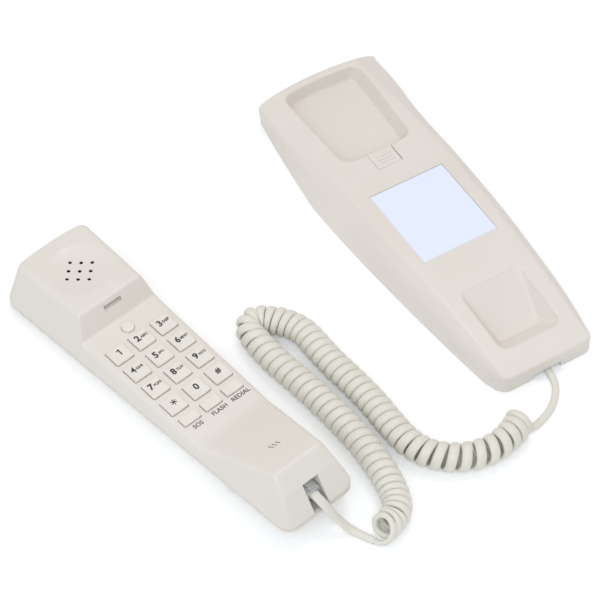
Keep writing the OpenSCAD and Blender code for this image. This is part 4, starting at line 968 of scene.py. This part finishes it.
signs = (("1", "1", ""), ("2", "2", "ABC"), ("3", "3", "DEF"), ("4", "4", "GHI"), ("5", "5", "JKL"),
         ("6", "6", "MNO"), ("7", "7", "PQRS"), ("8", "8", "TUV"), ("9", "9", "WXYZ"),
         ("star", "*", ""), ("0", "0", ""), ("hash", "#", ""))
for name, sign, letters in signs:
    x, y = keypad[name]
    if sign == "*":
        parts = []
        for a in (math.radians(30), math.radians(90), math.radians(150)):
            dx, dy = 1.75 * math.cos(a), 1.75 * math.sin(a)
            parts.append(stroke(x + 0.6 - dx, y + 0.9 - dy, x + 0.6 + dx, y + 0.9 + dy, 0.5))
    elif sign == "1":
        parts = [stroke(x + 0.9, y - 1.05, x + 0.9, y + 2.85, 0.75),
                 stroke(x + 0.85, y + 2.6, x - 0.4, y + 1.8, 0.6)]
    elif letters:
        wide = {"GHI": 3.8, "JKL": 3.7, "DEF": 4.0, "TUV": 4.2}.get(letters, 4.3)
        parts = [printed(sign, x - 1.6, y - 0.5, 3.9, 0, 0.012 if sign == "4" else 0.042),
                 printed(letters, x + 0.1 + wide / 2, y + 0.3, 1.65, wide, 0.045)]
    else:
        tall = 3.4 if sign == "#" else 3.9
        parts = [printed(sign, x + 0.6, y - tall / 2 + 0.9, tall, 0, 0.04)]
    legend("legend_" + name, parts, "key_" + name, lambda px, x=x: key_top(px - x) + 0.012)
functions = (("SOS", -12.9), ("FLASH", 0.5), ("REDIAL", 13.8))
words = [printed(word, x, -37.9, 2.45, 0, 0.02) for word, x in functions]
legend("legend_functions", words, "handset", lambda px: 18.415)


# ---- Wall hook: a small reversible slide in the same cream, flush with the face,
# with three grip ribs and a lip that hangs into the ear pocket. Two side
# tongues hold it under the shell.
hook = box_tool((-7.6, 31.9, 16.4), (6.4, 43.2, 18.3))
carve(hook, box_tool((-8.55, 31.9, 16.4), (7.7, 42.6, 17.3)), "UNION")
carve(hook, box_tool((-7.6, 42.3, 13.0), (6.4, 43.8, 16.9)), "UNION")
for i in (-1, 0, 1):
    carve(hook, box_tool((-4.7, 36.8 + i * 2.3, 18.0), (3.7, 37.9 + i * 2.3, 18.85)), "UNION")
finish_shell(hook, cream, "hook", edge=0.00022, nodes=["wall_hook"])


# ---- Memo card: a blank white card in the base's recess under a clear film that
# snaps in over it.
glowing_card_paper, f = new_material("card_paper")
fibre = f.noise(900.0, 3.0)
# the paper also glows a little: a painted glow that makes the card brighter than the lamps alone light it
surface(f, Base_Color=fibre.blend((0.800, 0.848, 0.985, 1), (0.830, 0.872, 1.000, 1)),
        Roughness=fibre * 0.1 + 0.75, Emission_Color=(0.8, 0.85, 1.0, 1), Emission_Strength=0.05)
film, f = new_material("clear_film")
haze = f.noise(40.0, 2.0)
surface(f, Base_Color=(0.95, 0.97, 1.0, 1), Roughness=haze * 0.08 + 0.12, Alpha=haze * 0.04 + 0.06)


def dress(node, material, edge=0.0, angle=35):
    """Gives a CAD node its material, and rounds its edges by this many metres."""
    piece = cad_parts[node]
    piece.data.materials.clear()
    piece.data.materials.append(material)
    if edge:
        weld = piece.modifiers.new("weld", "WELD")
        weld.merge_threshold = 0.000002
        round_edge = piece.modifiers.new("edges", "BEVEL")
        round_edge.width, round_edge.segments, round_edge.limit_method = edge, 2, "ANGLE"
        round_edge.angle_limit, round_edge.use_clamp_overlap = math.radians(angle), True
        round_edge.harden_normals = True
    for face in piece.data.polygons:
        face.use_smooth = False
    return piece


dress("memo_card", glowing_card_paper)
dress("card_cover", film)


# ---- Plugs and jacks: clear four-way plugs with a latch tongue, pressed onto the
# flat lead, in black moulded jacks on the back plate and in the mouth end.
clear_plastic, f = new_material("clear_polycarbonate")
haze = f.noise(300.0, 2.0)
surface(f, Base_Color=(0.88, 0.88, 0.86, 1), Roughness=haze * 0.1 + 0.04, Transmission_Weight=0.45, IOR=1.5)
black_plastic = plastic("black_plastic", (0.018, 0.018, 0.020), (0.012, 0.012, 0.013), 0.42, 2200.0, 0.00002)
dress("base_plug", clear_plastic, 0.00012)
dress("handset_plug", clear_plastic, 0.00012)
for node in ("base_jack", "line_jack", "handset_jack"):
    dress(node, black_plastic, 0.0002)


# ---- Back plate and screws: a cream plate that closes the base, with the two
# keyholes for the wall studs, and steel self-tapping screws.
dress("back_plate", cream, 0.00025)
steel, f = new_material("zinc_steel")
wear = f.noise(420.0, 4.0)
surface(f, Base_Color=wear.blend((0.48, 0.48, 0.47, 1), (0.60, 0.60, 0.61, 1)), Metallic=1.0,
        Roughness=wear * 0.25 + 0.22)
for node in ("base_screws", "handset_screws", "base_board_screws", "handset_board_screws"):
    dress(node, steel)


# ---- Inside: the two green boards, the grey rubber mat, the black ringer, switch
# and receiver, the aluminium microphone can and the cast weight.
resin, f = new_material("board_resin")
weave = f.noise(260.0, 3.0)
surface(f, Base_Color=weave.blend((0.018, 0.085, 0.040, 1), (0.030, 0.130, 0.060, 1)),
        Roughness=weave * 0.15 + 0.30)
rubber = plastic("mat_rubber", (0.105, 0.108, 0.112), (0.085, 0.088, 0.092), 0.70, 1500.0, 0.00003)
can, f = new_material("capsule_aluminium")
drawn = f.noise(700.0, 2.0)
surface(f, Base_Color=drawn.blend((0.52, 0.52, 0.53, 1), (0.64, 0.64, 0.65, 1)), Metallic=1.0,
        Roughness=drawn * 0.15 + 0.30)
iron, f = new_material("weight_iron")
cast = f.noise(500.0, 5.0)
bump = f.make("ShaderNodeBump", inputs={"Strength": 0.6, "Distance": 0.0001, "Height": cast})
surface(f, Base_Color=cast.blend((0.10, 0.10, 0.10, 1), (0.17, 0.165, 0.16, 1)), Metallic=1.0,
        Roughness=0.62, Normal=bump)
inside = (("base_board", resin, 0.0), ("handset_board", resin, 0.0), ("keypad_mat", rubber, 0.0),
          ("ringer", black_plastic, 0.0003), ("hook_switch", black_plastic, 0.00015),
          ("receiver_capsule", black_plastic, 0.0003), ("microphone_capsule", can, 0.0002),
          ("balance_weight", iron, 0.0004))
for node, material, edge in inside:
    dress(node, material, edge)


# ---- Stage: a plain pale table, even light from all round, a soft lamp high up
# behind the phone, a wide one in front of it and a weak one low on its left.
world = bpy.data.worlds.new("light")
bpy.context.scene.world = world
world.use_nodes = True
w = Finish(world.node_tree)
world.node_tree.nodes.clear()
seen = w.make("ShaderNodeLightPath", out=0)
glossy = w.make("ShaderNodeLightPath", out=3)
strength = seen * 0.34 + glossy * 0.2 + 0.66
tint = seen.blend((1.0, 0.957, 0.966, 1), (1, 1, 1, 1))
back = w.make("ShaderNodeBackground", inputs={"Color": tint, "Strength": strength})
world.node_tree.links.new(back.socket, world.node_tree.nodes.new("ShaderNodeOutputWorld").inputs["Surface"])

bpy.ops.mesh.primitive_plane_add(size=12, location=(0, 0, -0.0001))
table = bpy.context.active_object
table.name = "table"
paper, f = new_material("table_paper")
camera_ray = f.make("ShaderNodeLightPath", out=0)
matt = f.make("ShaderNodeBsdfDiffuse", inputs={"Color": (0.93, 0.93, 0.93, 1)})
glow = f.make("ShaderNodeEmission", inputs={"Color": (1, 1, 1, 1), "Strength": camera_ray * 0.2})
lit = f.make("ShaderNodeAddShader", inputs={0: matt, 1: glow})
clear = f.make("ShaderNodeBsdfTransparent")
behind = f.make("ShaderNodeNewGeometry", out=6)
shown = f.make("ShaderNodeMixShader", inputs={0: behind, 1: lit, 2: clear})
f.tree.links.new(shown.socket, f.tree.nodes.new("ShaderNodeOutputMaterial").inputs["Surface"])
table.data.materials.append(paper)

for name, size, watts, tint, place in (("softbox", 0.5, 3.3, (1.0, 0.98, 0.93), (0.27, 0.38, 1.53)),
                                       ("window", 0.6, 0.73, (0.89, 0.97, 1.0), (-0.80, -0.05, 0.55)),
                                       ("front", 0.8, 5.4, (0.70, 0.93, 1.0), (-0.55, -0.75, 1.15))):
    lamp = bpy.data.lights.new(name, "AREA")
    lamp.shape, lamp.size, lamp.energy, lamp.color = "SQUARE", size, watts, tint
    light = bpy.data.objects.new(name, lamp)
    bpy.context.scene.collection.objects.link(light)
    light.location = place
    light.rotation_mode = "QUATERNION"
    light.rotation_quaternion = (Vector((-0.08, 0, 0)) - light.location).to_track_quat("-Z", "Y")

bpy.context.scene.view_settings.view_transform = "Standard"
